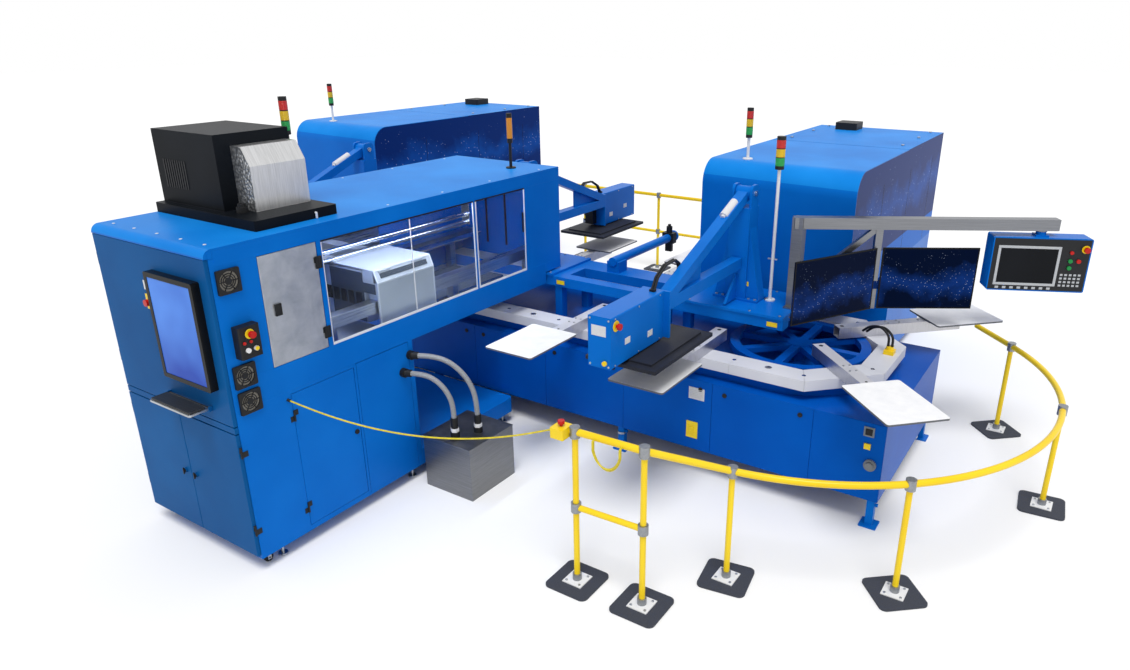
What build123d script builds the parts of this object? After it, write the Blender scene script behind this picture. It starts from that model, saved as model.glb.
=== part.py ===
from build123d import *
import math
import os

os.makedirs("parts", exist_ok=True)

# Direct to garment printer: three print engines and three press heads round an oval pallet carousel.
# Millimetres, +Z up. The origin is on the floor under the drive wheel at the carousel's right end.
# +X runs along the carousel towards that end, and the operator stands on the -Y side.

# Carousel: chain pitch, turning wheels and pallets
link_pitch = 505.0
wheel_sides = 8
span_links = 12
chain_apothem = link_pitch / 2 / math.tan(math.pi / wheel_sides)
centre_distance = span_links * link_pitch
link_width = 180.0
link_low = 825.0
link_top = 900.0
joint_gap = 1.5
pin_radius = 14.0
pin_clearance = 0.05
glide_length = 120.0
glide_width = 60.0
glide_height = 6.7
track_width = 80.0
running_gap = 0.3
wheel_clearance = 8.0
wheel_rim_width = 70.0
wheel_thickness = 50.0
wheel_spoke_width = 60.0
shaft_radius = 45.0
arm_width = 90.0
arm_height = 85.0
arm_wall = 6.0
arm_inner = 290.0
arm_outer = 1300.0
pallet_width = 400.0
pallet_length = 550.0
pallet_thickness = 12.0
pallet_inner = 1005.0
pallet_corner = 18.0
bracket_thickness = 4.0

# Press base
base_half_width = 760.0
base_low = 200.0
base_top = 750.0
base_overhang = 862.0
skin = 4.0
tube = 80.0
panel_pitch = 730.0
panel_start = 390.0
seam = 3.0
leg_size = 50.0
leg_plate = 115.0
leg_plate_thickness = 10.0
leg_inset = 45.0
spine_half_width = 280.0
spine_front_width = 110.0
spine_back_width = 230.0
spine_low = 1050.0
spine_top = 1130.0
spine_overhang = 40.0
spine_post = 70.0
deck_thickness = 20.0
deck_ahead = 465.0
foot_margin = 8.0
cross_tube_x = -1690.0
cross_tube_rise = 95.0
cross_tube_height = spine_top + cross_tube_rise
cross_tube_radius = 38.0
deck_behind = 320.0

# Towers and press heads, one at every second station, on alternate sides
tower_size = 160.0
tower_top = 1850.0
side_gusset_reach = 100.0
side_gusset_width = 110.0
side_gusset_top = 1700.0
tower_stations = (1, 5, 9)
head_sides = (-1, 1, -1)
ear_thickness = 20.0
ear_depth = 120.0
ear_top = 2010.0
pivot_height = 1948.0
pivot_pin_radius = 20.0
hub_radius = 50.0
fit_clearance = 0.05
side_clearance = 2.0
bar_width = 80.0
bar_depth = 70.0
lower_bar_low = 1400.0
lower_bar_top = 1480.0
bar_reach = 1175.0
mount_plate = 20.0
head_low = 1200.0
head_high = 1520.0
head_box_left = 165.0
head_box_right = 5.0
head_box_length = 620.0
head_wall = 8.0
platen_width = 500.0
platen_shift = -45.0
platen_near = 880.0
platen_length = 780.0
platen_low = 1158.0
platen_thickness = 22.0
platen_step = 12.0
platen_travel = 130.0
guide_radius = 14.0
guide_first = 1300.0
guide_spacing = 260.0
knob_radius = 20.0
button_travel = 6.0
stem_radius = 9.0
stem_depth = 8.0
end_stop_x = -2722.0

# Print engine with the window, docked at the operator's side
e1_left = -3225.0
e1_right = -2115.0
e1_front = -3214.0
e1_back = -94.0
e1_step = -1846.0
e1_low = 90.0
e1_top = 2005.0
e1_deck = 1064.0
wall = 18.0
floor_plate = 12.0
edge_radius = 50.0
door_gap = 3.0
door_thickness = 22.0
mid_rail_low = 935.0
mid_rail_top = 982.0
side_door_front = -2830.0
side_door_back = -2360.0
second_door_back = -1885.0
side_door_low = 130.0
side_door_top = 1040.0
hatch_front = -2910.0
hatch_back = -2520.0
window_front = -2485.0
window_back = -550.0
window_low = 1240.0
window_top = 1905.0
mullion_centre = -1130.0
mullion_width = 24.0
side_latch_height = 600.0
keyboard_height = 1061.0
keyboard_depth = 138.0
screen_left = -2650.0
screen_right = -2195.0
screen_rise = 134.0
screen_height = 630.0
screen_thickness = 48.0
screen_bezel = 28.0
glass_thickness = 6.0
print_opening_left = -2850.0
print_opening_right = -2200.0
print_opening_front = -1800.0
print_opening_back = -600.0
notch_margin = 20.0
notch_gap = 10.0
plinth_top = 215.0
plinth_back = -800.0
plinth_end_depth = 50.0
hinge_radius = 9.0
hinge_pin_radius = 4.0
barrel_radius = 6.0
barrel_pin_radius = 3.0
barrel_length = 70.0
leaf_thickness = 3.0
latch_radius = 16.0
carriage_rest = 471.0
carriage_length = 520.0
carriage_width = 380.0
bridge_width = 100.0
hood_front = -2810.0
hood_back = -2240.0
hood_wall = 10.0
hood_tray_length = 990.0
hood_tray_height = 60.0
hood_box_inset = 60.0
hood_box_length = 625.0
hood_box_height = 440.0
louvre_inset = 160.0
louvre_width = 380.0
louvre_depth = 160.0
louvre_height = 370.0
louvre_slope_width = 95.0
louvre_slope_height = 108.0
lamp_height = 230.0

# Back print engines, seen from their closed ends
engine_width = 1250.0
engine_offset = 65.0
engine_stations = (1, 11)
engine_front = 430.0
engine_back = 3270.0
engine_step = 1846.0
engine_top = 2080.0
cover_sheet = 6.0
cover_radius = 180.0
cover_split = 1880.0
cover_light_x = (290.0, 390.0)

# Guard rail, boom and floor items
rail_radius = 21.0
rail_circle = 1760.0
rail_high = 1000.0
rail_low = 735.0
rail_tail = 470.0
rail_stub = 29.0
rung_height = 515.0
tube_end = 14.0
clamp_radius = 30.0
high_posts = ((-474.0, -2240.0), (-39.0, -2224.0))
low_post_angles = (-81.5, -49.5, 4.6, 42.0)
back_posts = (-4473.0, -3303.0, -2133.0)
back_rail_y = 3740.0
mat_size = 290.0
mat_thickness = 12.0
plate_thickness = 6.0
boom_size = 80.0
boom_top = 1820.0
boom_degrees = 30.7
boom_length = 1800.0
boom_post_x = -80.0
panel_degrees = 25.4
panel_width = 660.0
panel_height = 390.0
panel_depth = 150.0
panel_top = 1700.0
tank_x = -1785.0
tank_y = -1700.0
tank_width = 430.0
tank_depth = 460.0
tank_height = 400.0
bung_height = 40.0
hose_diameter = 36.0
hose_outlets = ((-1955.0, 860.0), (-1880.0, 965.0))
hose_bungs = ((-1791.0, -1826.0), (-1706.0, -1682.0))
hose_shares = (0.95, 1.0, 1.1, 1.15, 1.0)
hose_pitches = (0.0, 24.0, 48.0, 70.0, 90.0)
coupling_flange = 22.0
coupling_length = 45.0
cord_diameter = 10.0
cord_outlet = (-2852.0, 1010.0)
cord_sag = 140.0


def block(x0, x1, y0, y1, z0, z1):
    # A box between two corners
    return Pos((x0 + x1) / 2, (y0 + y1) / 2, (z0 + z1) / 2) * Box(x1 - x0, y1 - y0, z1 - z0)


def rod_z(x, y, z0, z1, radius):
    return Pos(x, y, (z0 + z1) / 2) * Cylinder(radius, z1 - z0)


def rod_x(x0, x1, y, z, radius):
    return Pos((x0 + x1) / 2, y, z) * Rot(0, 90, 0) * Cylinder(radius, x1 - x0)


def rod_y(x, y0, y1, z, radius):
    return Pos(x, (y0 + y1) / 2, z) * Rot(90, 0, 0) * Cylinder(radius, y1 - y0)


def bar(start, end, width, depth, across=(1, 0, 0)):
    # A straight rectangular bar whose width lies along the direction across
    start = Vector(*start)
    end = Vector(*end)
    section = Plane(origin=start, x_dir=across, z_dir=end - start) * Rectangle(width, depth)
    return extrude(section, amount=(end - start).length)


def pipe(points, radius, corner_radii=None):
    # A round tube along straight runs joined by tangent arcs
    if corner_radii is None:
        path = Polyline(*points)
    else:
        path = FilletPolyline(*points, radius=corner_radii)
    section = Plane(origin=path @ 0, z_dir=path % 0) * Circle(radius)
    return sweep(section, path=path)


def free_radii(points):
    # Each arc is as large as its two runs allow
    radii = []
    for before, corner, after in zip(points, points[1:], points[2:]):
        first = Vector(*corner) - Vector(*before)
        second = Vector(*after) - Vector(*corner)
        turn = math.radians(first.get_angle(second))
        radii.append(0.45 * min(first.length, second.length) / math.tan(turn / 2))
    return radii


def save(name, solids):
    # Keep the pieces of one node as separate solids in one file
    if not isinstance(solids, list):
        solids = [solids]
    pieces = []
    for item in solids:
        pieces.extend(item.solids())
    shape = pieces[0] if len(pieces) == 1 else Compound(children=pieces)
    export_step(shape, "parts/" + name + ".step")


def station_x(number):
    # The middle of a link that many pitches left of the drive wheel's centre
    return -number * link_pitch


def pin_places():
    # Every chain hinge, anticlockwise from the right end's front
    corner = chain_apothem / math.cos(math.pi / wheel_sides)
    places = []
    half_turn = 360.0 / wheel_sides
    for step in range(wheel_sides // 2):
        angle = math.radians(-90 + half_turn / 2 + step * half_turn)
        places.append((corner * math.cos(angle), corner * math.sin(angle)))
    for step in range(span_links):
        places.append((-link_pitch / 2 - step * link_pitch, chain_apothem))
    for step in range(wheel_sides // 2):
        angle = math.radians(90 + half_turn / 2 + step * half_turn)
        places.append((-centre_distance + corner * math.cos(angle), corner * math.sin(angle)))
    for step in range(span_links):
        places.append((-centre_distance + link_pitch / 2 + step * link_pitch, -chain_apothem))
    return places


def arm_places():
    # Centre and outward direction in degrees of each pallet arm
    places = []
    for number in range(1, span_links, 2):
        places.append((station_x(number), 0, -90))
        places.append((station_x(number), 0, 90))
    for angle in (-45, 45):
        places.append((0, 0, angle))
        places.append((-centre_distance, 0, 180 + angle))
    return places


def make_chain():
    pins = pin_places()
    count = len(pins)
    links = []
    for index in range(count):
        x0, y0 = pins[index]
        x1, y1 = pins[(index + 1) % count]
        along = math.degrees(math.atan2(y1 - y0, x1 - x0))
        before = pins[index - 1]
        after = pins[(index + 2) % count]
        turn_in = math.degrees(math.atan2(y0 - before[1], x0 - before[0]))
        turn_out = math.degrees(math.atan2(after[1] - y1, after[0] - x1))
        skew_in = math.radians((along - turn_in + 180) % 360 - 180) / 2
        skew_out = math.radians((turn_out - along + 180) % 360 - 180) / 2
        half = link_width / 2
        start = joint_gap / 2
        end = link_pitch - joint_gap / 2
        corners = [
            (start - half * math.tan(skew_in), -half),
            (end + half * math.tan(skew_out), -half),
            (end - half * math.tan(skew_out), half),
            (start + half * math.tan(skew_in), half),
        ]
        body = extrude(make_face(Polyline(*corners, close=True)), amount=link_top - link_low)
        bore = pin_radius + pin_clearance
        for end_x in (0, link_pitch):
            body -= Pos(end_x, 0, 0) * Cylinder(bore, 4 * (link_top - link_low))
        links.append(Pos(x0, y0, link_low) * Rot(0, 0, along) * body)
    save("chain_links", links)
    keepers = []
    for index, (x, y) in enumerate(pins):
        before = pins[index - 1]
        after = pins[(index + 1) % count]
        along = math.degrees(math.atan2(after[1] - before[1], after[0] - before[0]))
        plate = Pos(0, 0, -glide_height / 2) * Box(glide_length, glide_width, glide_height)
        pin = Pos(0, 0, (link_top - link_low + 2) / 2) * Cylinder(pin_radius, link_top - link_low + 2)
        keepers.append(Pos(x, y, link_low) * Rot(0, 0, along) * (plate + pin))
    save("chain_pins", keepers)


def make_arms_and_pallets():
    arms = []
    pallets = []
    length = arm_outer - arm_inner
    middle = (arm_outer + arm_inner) / 2
    for x, y, angle in arm_places():
        place = Pos(x, y, 0) * Rot(0, 0, angle)
        outer = Pos(middle, 0, link_top + arm_height / 2) * Box(length, arm_width, arm_height)
        hollow = Box(length + 2, arm_width - 2 * arm_wall, arm_height - 2 * arm_wall)
        hollow = Pos(middle, 0, link_top + arm_height / 2) * hollow
        hole = Pos(arm_inner + arm_width / 2, 0, link_top + arm_height) * Cylinder(12, 4 * arm_wall)
        arms.append(place * (outer - hollow - hole))
        low = link_top + arm_height
        board = Pos(0, 0, bracket_thickness + pallet_thickness / 2)
        board *= Box(pallet_length, pallet_width, pallet_thickness)
        board = fillet(board.edges().filter_by(Axis.Z), pallet_corner)
        carrier_length = arm_outer - pallet_inner
        carrier = Pos((carrier_length - pallet_length) / 2, 0, bracket_thickness / 2)
        carrier *= Box(carrier_length, 2 * arm_width, bracket_thickness)
        pallet = Pos(pallet_inner + pallet_length / 2, 0, low) * (board + carrier)
        pallets.append(place * pallet)
    save("pallet_arms", arms)
    save("pallets", pallets)


def make_turning_wheel(name, centre_x):
    # Rim, spokes and shaft turn together inside the ring of links
    rim_outer = chain_apothem - link_width / 2 - wheel_clearance
    low = (link_low + link_top - wheel_thickness) / 2
    rim = Cylinder(rim_outer, wheel_thickness) - Cylinder(rim_outer - wheel_rim_width, 2 * wheel_thickness)
    for angle in (0, 45, 90, 135):
        spoke = Box(2 * rim_outer - wheel_rim_width, wheel_spoke_width, wheel_thickness - 10)
        rim += Rot(0, 0, angle) * spoke
    rim += Cylinder(2 * shaft_radius, wheel_thickness)
    wheel = Pos(centre_x, 0, low + wheel_thickness / 2) * rim
    shaft_low = base_low + tube + 170
    wheel += rod_z(centre_x, 0, shaft_low, low + wheel_thickness, shaft_radius)
    save(name, wheel)


def base_ends():
    return -centre_distance - base_overhang, base_overhang


def panel_seams():
    # Skirt panel joints from right to left
    left, right = base_ends()
    seams = [right]
    x = panel_start
    while x > left + panel_pitch / 2:
        seams.append(x)
        x -= panel_pitch
    seams.append(left)
    return seams


def make_base():
    left, right = base_ends()
    inner = base_half_width - skin
    top = base_top - skin
    frame = []
    for side in (-1, 1):
        edge = side * inner
        y0, y1 = min(edge, edge - side * tube), max(edge, edge - side * tube)
        for z in (base_low, top - tube):
            frame.append(block(left + skin, right - skin, y0, y1, z, z + tube))
        for x in panel_seams()[1:-1]:
            frame.append(block(x - tube / 2, x + tube / 2, y0, y1, base_low + tube, top - tube))
    cross = inner - tube
    for x in panel_seams()[1:-1]:
        frame.append(block(x - tube / 2, x + tube / 2, -cross, cross, base_low, base_low + tube))
    for x in (left + skin + tube / 2, right - skin - tube / 2):
        for z in (base_low, top - tube):
            frame.append(block(x - tube / 2, x + tube / 2, -cross, cross, z, z + tube))
    # Bearing beams carry the two turning wheels
    gear_low = base_low + tube
    for centre_x in (0.0, -centre_distance):
        beam = block(centre_x - 100, centre_x + 100, -cross, cross, base_low, gear_low)
        for x in panel_seams()[1:-1]:
            if abs(x - centre_x) < 100 + tube / 2:
                beam -= block(x - tube / 2, x + tube / 2, -cross - 1, cross + 1, base_low - 1, gear_low + 1)
        frame.append(beam)
    # The glide track lies on the deck under the chain
    track_top = link_low - glide_height - running_gap
    for side in (-1, 1):
        y = side * chain_apothem
        half = track_width / 2
        frame.append(block(-centre_distance, 0, y - half, y + half, base_top, track_top))
    height = track_top - base_top
    ring = Cylinder(chain_apothem + track_width / 2, height)
    ring -= Cylinder(chain_apothem - track_width / 2, 2 * height)
    half = chain_apothem + track_width
    right_half = ring & Pos(half / 2, 0, 0) * Box(half, 2 * half, 2 * height)
    left_half = ring & Pos(-half / 2, 0, 0) * Box(half, 2 * half, 2 * height)
    frame.append(Pos(0, 0, base_top + height / 2) * right_half)
    frame.append(Pos(-centre_distance, 0, base_top + height / 2) * left_half)
    save("base_frame", frame)


def make_base_panels():
    left, right = base_ends()
    panels = []
    seams = panel_seams()
    for near, far in zip(seams, seams[1:]):
        for side in (-1, 1):
            outer = side * base_half_width
            inner = side * (base_half_width - skin)
            y0, y1 = min(outer, inner), max(outer, inner)
            panels.append(block(far + seam / 2, near - seam / 2, y0, y1, base_low, base_top - skin))
    width = base_half_width - skin - 1
    panels.append(block(right - skin, right, -width, width, base_low, base_top - skin))
    panels.append(block(left, left + skin, -width, width, base_low, base_top - skin))
    for near, far in zip(seams, seams[1:]):
        deck = block(far, near, -base_half_width, base_half_width, base_top - skin, base_top)
        for centre_x in (0.0, -centre_distance):
            deck -= Pos(centre_x, 0, base_top) * Cylinder(shaft_radius + 6, 4 * skin)
        panels.append(deck)
    save("base_panels", panels)


def make_gear_units():
    # A gearbox and motor under each turning wheel hold its shaft in a bore
    low = base_low + tube
    units = []
    for centre_x in (0.0, -centre_distance):
        box = block(centre_x - 130, centre_x + 130, -130, 130, low, low + 240)
        box = fillet(box.edges().filter_by(Axis.Z), 20)
        box -= rod_z(centre_x, 0, low + 168, low + 300, shaft_radius + fit_clearance)
        motor = rod_y(centre_x, 130, 430, low + 110, 75)
        flange = rod_y(centre_x, 430, 445, low + 110, 85)
        units.append(box + motor + flange)
    save("gear_units", units)


def leg_places():
    left, right = base_ends()
    y = base_half_width - leg_inset
    xs = (right - leg_inset, -1100.0, -centre_distance / 2, -4960.0, left + leg_inset)
    return [(x, side * y) for x in xs for side in (-1, 1)]


def make_jack_legs():
    legs = []
    for x, y in leg_places() + [(0.0, 0.0), (-centre_distance, 0.0)]:
        half = leg_plate / 2
        plate = block(x - half, x + half, y - half, y + half, 0, leg_plate_thickness)
        plate = fillet(plate.edges().filter_by(Axis.Z), 8)
        size = leg_size / 2
        post = block(x - size, x + size, y - size, y + size, leg_plate_thickness, base_low)
        knob = rod_x(x + size, x + size + 18, y, base_low - 45, 12)
        legs.append(plate + post + knob)
    save("jack_legs", legs)


def make_spine():
    left = -centre_distance + spine_overhang
    right = -spine_overhang
    beams = [
        block(left, right, -spine_half_width, -spine_half_width + spine_front_width, spine_low, spine_top),
        block(left, right, spine_half_width - spine_back_width, spine_half_width, spine_low, spine_top),
    ]
    # Cross plates tie the two beams, and posts stand on the base deck between the pallet arms
    inner_y0 = -spine_half_width + spine_front_width
    inner_y1 = spine_half_width - spine_back_width
    for number in range(2, span_links, 2):
        x = station_x(number)
        beams.append(block(x - 60, x + 60, inner_y0, inner_y1, spine_low, spine_top))
        for y in (-spine_half_width + spine_front_width / 2, spine_half_width - spine_back_width / 2):
            half = spine_post / 2
            beams.append(block(x - half, x + half, y - half, y + half, base_top, spine_low))
    for centre_x, side in ((right, -1), (left, 1)):
        x0 = centre_x + side * 640
        x1 = x0 + side * 60
        beams.append(block(min(x0, x1), max(x0, x1), inner_y0, inner_y1, spine_low, spine_top))
    for number in tower_stations:
        x = station_x(number)
        y = spine_half_width + 10
        beams.append(block(x - deck_behind, x + deck_ahead, -y, y, spine_top, spine_top + deck_thickness))
    # The window engine rests on two pads on the middle deck plate
    for x in (e1_left + 430, e1_right - 120):
        beams.append(block(x - 40, x + 40, -260, -180, spine_top + deck_thickness,
                           spine_top + deck_thickness + notch_gap))
    # Flat ties from the back beam carry the front edge of each back engine
    for number, offsets in zip(engine_stations, ((65.0, 185.0), (165.0, 1135.0))):
        engine_left = engine_x(number)[0]
        for offset in offsets:
            x = engine_left + offset
            beams.append(block(x - 30, x + 30, spine_half_width, engine_front + 130,
                               spine_low + 2, e1_deck - running_gap))
    # A round cross tube reaches from a saddle on the spine over the back row of pallets
    saddle = block(cross_tube_x - 60, cross_tube_x + 60, 70, 200, spine_top, cross_tube_height)
    cross = rod_y(cross_tube_x, 60, 1120, cross_tube_height, cross_tube_radius)
    beams.append(saddle - cross)
    beams.append(cross)
    beams.append(rod_y(cross_tube_x, 1120, 1145, cross_tube_height, cross_tube_radius + 14))
    save("spine_beams", beams)


def make_towers():
    towers = []
    base = spine_top + deck_thickness
    half = tower_size / 2
    for number, side in zip(tower_stations, head_sides):
        x = station_x(number)
        reach = half + side_gusset_reach
        foot_top = base + 16
        foot = block(x - reach, x + reach, -half - foot_margin, half + foot_margin, base, foot_top)
        column = block(x - half, x + half, -half, half, base, tower_top)
        ears = None
        for edge in (x - half, x + half - ear_thickness):
            ear = block(edge, edge + ear_thickness, -ear_depth / 2, ear_depth / 2, tower_top, ear_top)
            ear = fillet(ear.edges().filter_by(Axis.X).group_by(Axis.Z)[-1], 40)
            ears = ear if ears is None else ears + ear
        body = foot + column + ears
        body -= rod_x(x - half - 1, x + half + 1, 0, pivot_height, pivot_pin_radius)
        # A gusset plate stiffens the column on the side of its head
        near = side * half
        far = side * (half + 190)
        profile = Polyline((near, foot_top), (far, foot_top), (near, lower_bar_low - 40), close=True)
        gusset = extrude(Plane.YZ.offset(x - 10) * make_face(profile), amount=20)
        body += gusset
        stop = block(x - 30, x + 30, min(near, near + side * 4), max(near, near + side * 4),
                     lower_bar_low + 10, lower_bar_top - 10)
        body += stop
        pin = rod_x(x - half - 12, x + half + 12, 0, pivot_height, pivot_pin_radius)
        towers.append(body)
        towers.append(pin)
        # Two wedges brace the column along the spine
        for edge, outer in ((x - half, x - reach), (x + half, x + reach)):
            profile = Polyline((edge, foot_top), (outer, foot_top), (edge, side_gusset_top), close=True)
            wedge = extrude(make_face(Plane.XZ * profile), amount=side_gusset_width / 2, both=True)
            towers.append(wedge)
    save("towers", towers)


def head_frame(number, side):
    # Upper bar, lower bar and rear plate are one weldment that hangs on the pivot pin
    x = station_x(number)
    rear = lower_bar_rear() * side
    tip = bar_reach * side
    plate_far = (bar_reach + mount_plate) * side
    inner = tower_size / 2 - ear_thickness - side_clearance
    hub = rod_x(x - inner, x + inner, 0, pivot_height, hub_radius)
    lower = block(x - bar_width / 2, x + bar_width / 2, min(rear, tip), max(rear, tip),
                  lower_bar_low, lower_bar_top)
    start = (x, 20 * side, pivot_height - 10)
    end = (x, bar_reach * side, head_high - 40)
    upper = bar(start, end, bar_width, bar_depth)
    upper &= block(x - 500, x + 500, min(0, tip), max(0, tip), 0, 3000)
    web_profile = Polyline(
        (side * 700, lower_bar_top - 5),
        (side * (bar_reach - 30), lower_bar_top - 5),
        (side * (bar_reach - 30), lower_bar_top + 30),
        (side * 700, lower_bar_top + 150),
        close=True,
    )
    web = extrude(Plane.YZ.offset(x - 8) * make_face(web_profile), amount=16)
    plate = block(x - head_box_left, x + bar_width / 2, min(tip, plate_far), max(tip, plate_far),
                  head_low + 10, head_high)
    arm = hub + lower + upper + web + plate
    arm -= rod_x(x - 100, x + 100, 0, pivot_height, pivot_pin_radius + fit_clearance)
    return arm


def lower_bar_rear():
    return tower_size / 2 + 4 + running_gap


def head_box_span(number, side):
    x = station_x(number)
    near = (bar_reach + mount_plate) * side
    far = (bar_reach + mount_plate + head_box_length) * side
    return x - head_box_left, x - head_box_right, min(near, far), max(near, far)


def make_heads():
    for index, (number, side) in enumerate(zip(tower_stations, head_sides), start=1):
        x = station_x(number)
        x0, x1, y0, y1 = head_box_span(number, side)
        box = block(x0, x1, y0, y1, head_low, head_high)
        box = fillet(box.edges().filter_by(Axis.Y), 8)
        rear, front = (y1, y0) if side < 0 else (y0, y1)
        hollow_far = front - side * head_wall
        box -= block(x0 + head_wall, x1 - head_wall, min(rear, hollow_far), max(rear, hollow_far),
                     head_low + head_wall, head_high - head_wall)
        # Two bushes under the box guide the platen's rods
        middle = (x0 + x1) / 2
        bush_top = head_low + platen_travel + 60
        for distance in (guide_first, guide_first + guide_spacing):
            box += rod_z(middle, side * distance, head_low, bush_top, guide_radius + 14)
        for distance in (guide_first, guide_first + guide_spacing):
            y = side * distance
            box -= rod_z(middle, y, head_low - 1, bush_top + 1, guide_radius + fit_clearance)
        if index == 1:
            box -= stop_bore(head_stop_place())
        save("head_arm_%d" % index, [head_frame(number, side), box])
        near = side * platen_near
        far = side * (platen_near + platen_length)
        y_low, y_high = min(near, far), max(near, far)
        left = x + platen_shift - platen_width / 2
        right = left + platen_width
        plate_top = platen_low + platen_thickness
        platen = block(left, right, y_low, y_high, platen_low, plate_top)
        platen = fillet(platen.edges().filter_by(Axis.Z), 10)
        step = block(left + 60, right - 60, y_low + 60, y_high - 60, plate_top, plate_top + platen_step)
        platen += step
        for distance in (guide_first, guide_first + guide_spacing):
            rod_top = head_low + platen_travel + 30
            platen += rod_z(middle, side * distance, platen_low + 10, rod_top, guide_radius)
        save("press_platen_%d" % index, platen)


def make_e1_cabinet():
    pieces = []
    left, right = e1_left, e1_right
    front, back, step = e1_front, e1_back, e1_step
    body_front = front + door_thickness + 2
    # Lower cabinet
    pieces.append(block(left, right, body_front, step, e1_low, e1_low + floor_plate))
    lower_z = e1_low + floor_plate
    pieces.append(block(left, left + wall, body_front, step - wall, lower_z, e1_deck))
    pieces.append(block(left, right, step - wall, step, lower_z, e1_deck))
    pieces.append(block(right - wall, right, body_front, side_door_front - door_gap, lower_z, e1_deck))
    pieces.append(block(right - wall, right, side_door_back + door_gap, side_door_back + door_gap + wall,
                        lower_z, e1_deck))
    second_front = side_door_back + door_gap + wall
    pieces.append(block(right - 12, right, second_front + seam, second_door_back - seam,
                        lower_z, e1_deck - 4))
    pieces.append(block(right - wall, right, second_door_back, step - wall, lower_z, e1_deck))
    pieces.append(block(right - wall, right, side_door_front - door_gap, side_door_back + door_gap,
                        side_door_top + door_gap, e1_deck))
    pieces.append(block(right - wall, right, side_door_front - door_gap, side_door_back + door_gap,
                        lower_z, side_door_low - door_gap))
    # A rail closes the gap between the upper and lower end doors
    pieces.append(block(left + wall, right - wall, body_front, body_front + 60, mid_rail_low, mid_rail_top))
    # Plinth under the overhanging print end: a lid on two side walls and a thick round-cornered end
    plinth_lid = plinth_top - floor_plate
    plinth_end = plinth_back - plinth_end_depth
    for y0, z0, z1 in ((step, plinth_lid, plinth_top), (plinth_end, e1_low, plinth_lid)):
        rounded = block(left, right, y0, plinth_back, z0, z1)
        pieces.append(fillet(rounded.edges().filter_by(Axis.Z).group_by(Axis.Y)[-1], 40))
    pieces.append(block(left, left + wall, step, plinth_end, e1_low, plinth_lid))
    pieces.append(block(right - wall, right, step, plinth_end, e1_low, plinth_lid))
    # Floor of the upper body, open over the pallet
    deck_top = e1_deck + floor_plate
    pieces.append(block(left, right, body_front, print_opening_front, e1_deck, deck_top))
    # The back end is raised over the spine
    notch = -spine_half_width - notch_margin
    raised = spine_top + deck_thickness + notch_gap
    raised_top = raised + floor_plate
    pieces.append(block(left, right, print_opening_back, notch, e1_deck, deck_top))
    pieces.append(block(left, right, notch, back, raised, raised_top))
    pieces.append(block(left + wall, right - wall, notch - floor_plate, notch, deck_top, raised_top))
    pieces.append(block(left, print_opening_left, print_opening_front, print_opening_back,
                        e1_deck, deck_top))
    pieces.append(block(print_opening_right, right, print_opening_front, print_opening_back,
                        e1_deck, deck_top))
    # Walls of the upper body
    roof = e1_top - floor_plate
    pieces.append(block(left, left + wall, body_front, notch, deck_top, roof))
    pieces.append(block(left, left + wall, notch, back, raised_top, roof))
    pieces.append(block(left + wall, right - wall, back - wall, back, raised_top, roof))
    pieces.append(block(right - wall, right, body_front, notch, deck_top, window_low))
    pieces.append(block(right - wall, right, notch, back, raised_top, window_low))
    pieces.append(block(right - wall, right, body_front, back, window_top, roof))
    pieces.append(block(right - wall, right, body_front, hatch_front - door_gap, window_low, window_top))
    pieces.append(block(right - wall, right, hatch_back + door_gap, window_front, window_low, window_top))
    half = mullion_width / 2
    pieces.append(block(right - wall, right - 8, mullion_centre - half, mullion_centre + half,
                        window_low, window_top))
    pieces.append(block(right - wall, right, window_back, back, window_low, window_top))
    # Bulkhead between the electrical bay and the print bay
    pieces.append(block(left + wall, right - wall, window_front - 20, window_front, deck_top, roof))
    # Roof with its rounded front edge
    pieces.append(block(left, right, front + edge_radius, back, roof, e1_top))
    lip = block(left, right, front, front + edge_radius, e1_top - edge_radius, e1_top)
    lip = fillet(lip.edges().filter_by(Axis.X).group_by(Axis.Z)[-1].group_by(Axis.Y)[0], edge_radius - 2)
    pieces.append(lip)
    save("window_engine_cabinet", pieces)


def keyboard_span():
    return -2700.0, -2300.0


def end_hinge_line(side):
    # The end doors turn on barrels just outside the cabinet's two front corners
    outside = barrel_radius + running_gap
    x = e1_left - outside if side < 0 else e1_right + outside
    return x, e1_front + door_thickness / 2


def side_hinge_line(edge_y, side):
    # The side door and the hatch turn on barrels that stand proud of the side's face
    return e1_right + barrel_radius + running_gap, edge_y + side * door_gap / 2


def barrel_pair(x, y, z, fixed_leaf, moving_leaf):
    # The fixed half carries the pin, the moving half sits on it
    fixed = rod_z(x, y, z - barrel_length / 2, z - running_gap / 2, barrel_radius)
    fixed += fixed_leaf
    fixed += rod_z(x, y, z - running_gap, z + barrel_length / 2 - 5, barrel_pin_radius)
    moving = rod_z(x, y, z + running_gap / 2, z + barrel_length / 2, barrel_radius)
    moving += moving_leaf
    moving -= rod_z(x, y, z - 1, z + barrel_length / 2 - 5 + running_gap, barrel_pin_radius + fit_clearance)
    return fixed, moving


def end_hinge(side, z):
    # One leaf lies on the cabinet's side, the other on the door's edge
    x, y = end_hinge_line(side)
    face = e1_left if side < 0 else e1_right
    edge = face - side * door_gap
    low, high = z - barrel_length / 2, z + barrel_length / 2
    outer = face + side * leaf_thickness
    fixed_leaf = block(min(face, outer), max(face, outer), y, e1_front + door_thickness + 32,
                       low, z - running_gap / 2)
    moving_leaf = block(min(edge, outer), max(edge, outer), e1_front + 3, e1_front + 19,
                        z + running_gap / 2, high)
    return barrel_pair(x, y, z, fixed_leaf, moving_leaf)


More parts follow.
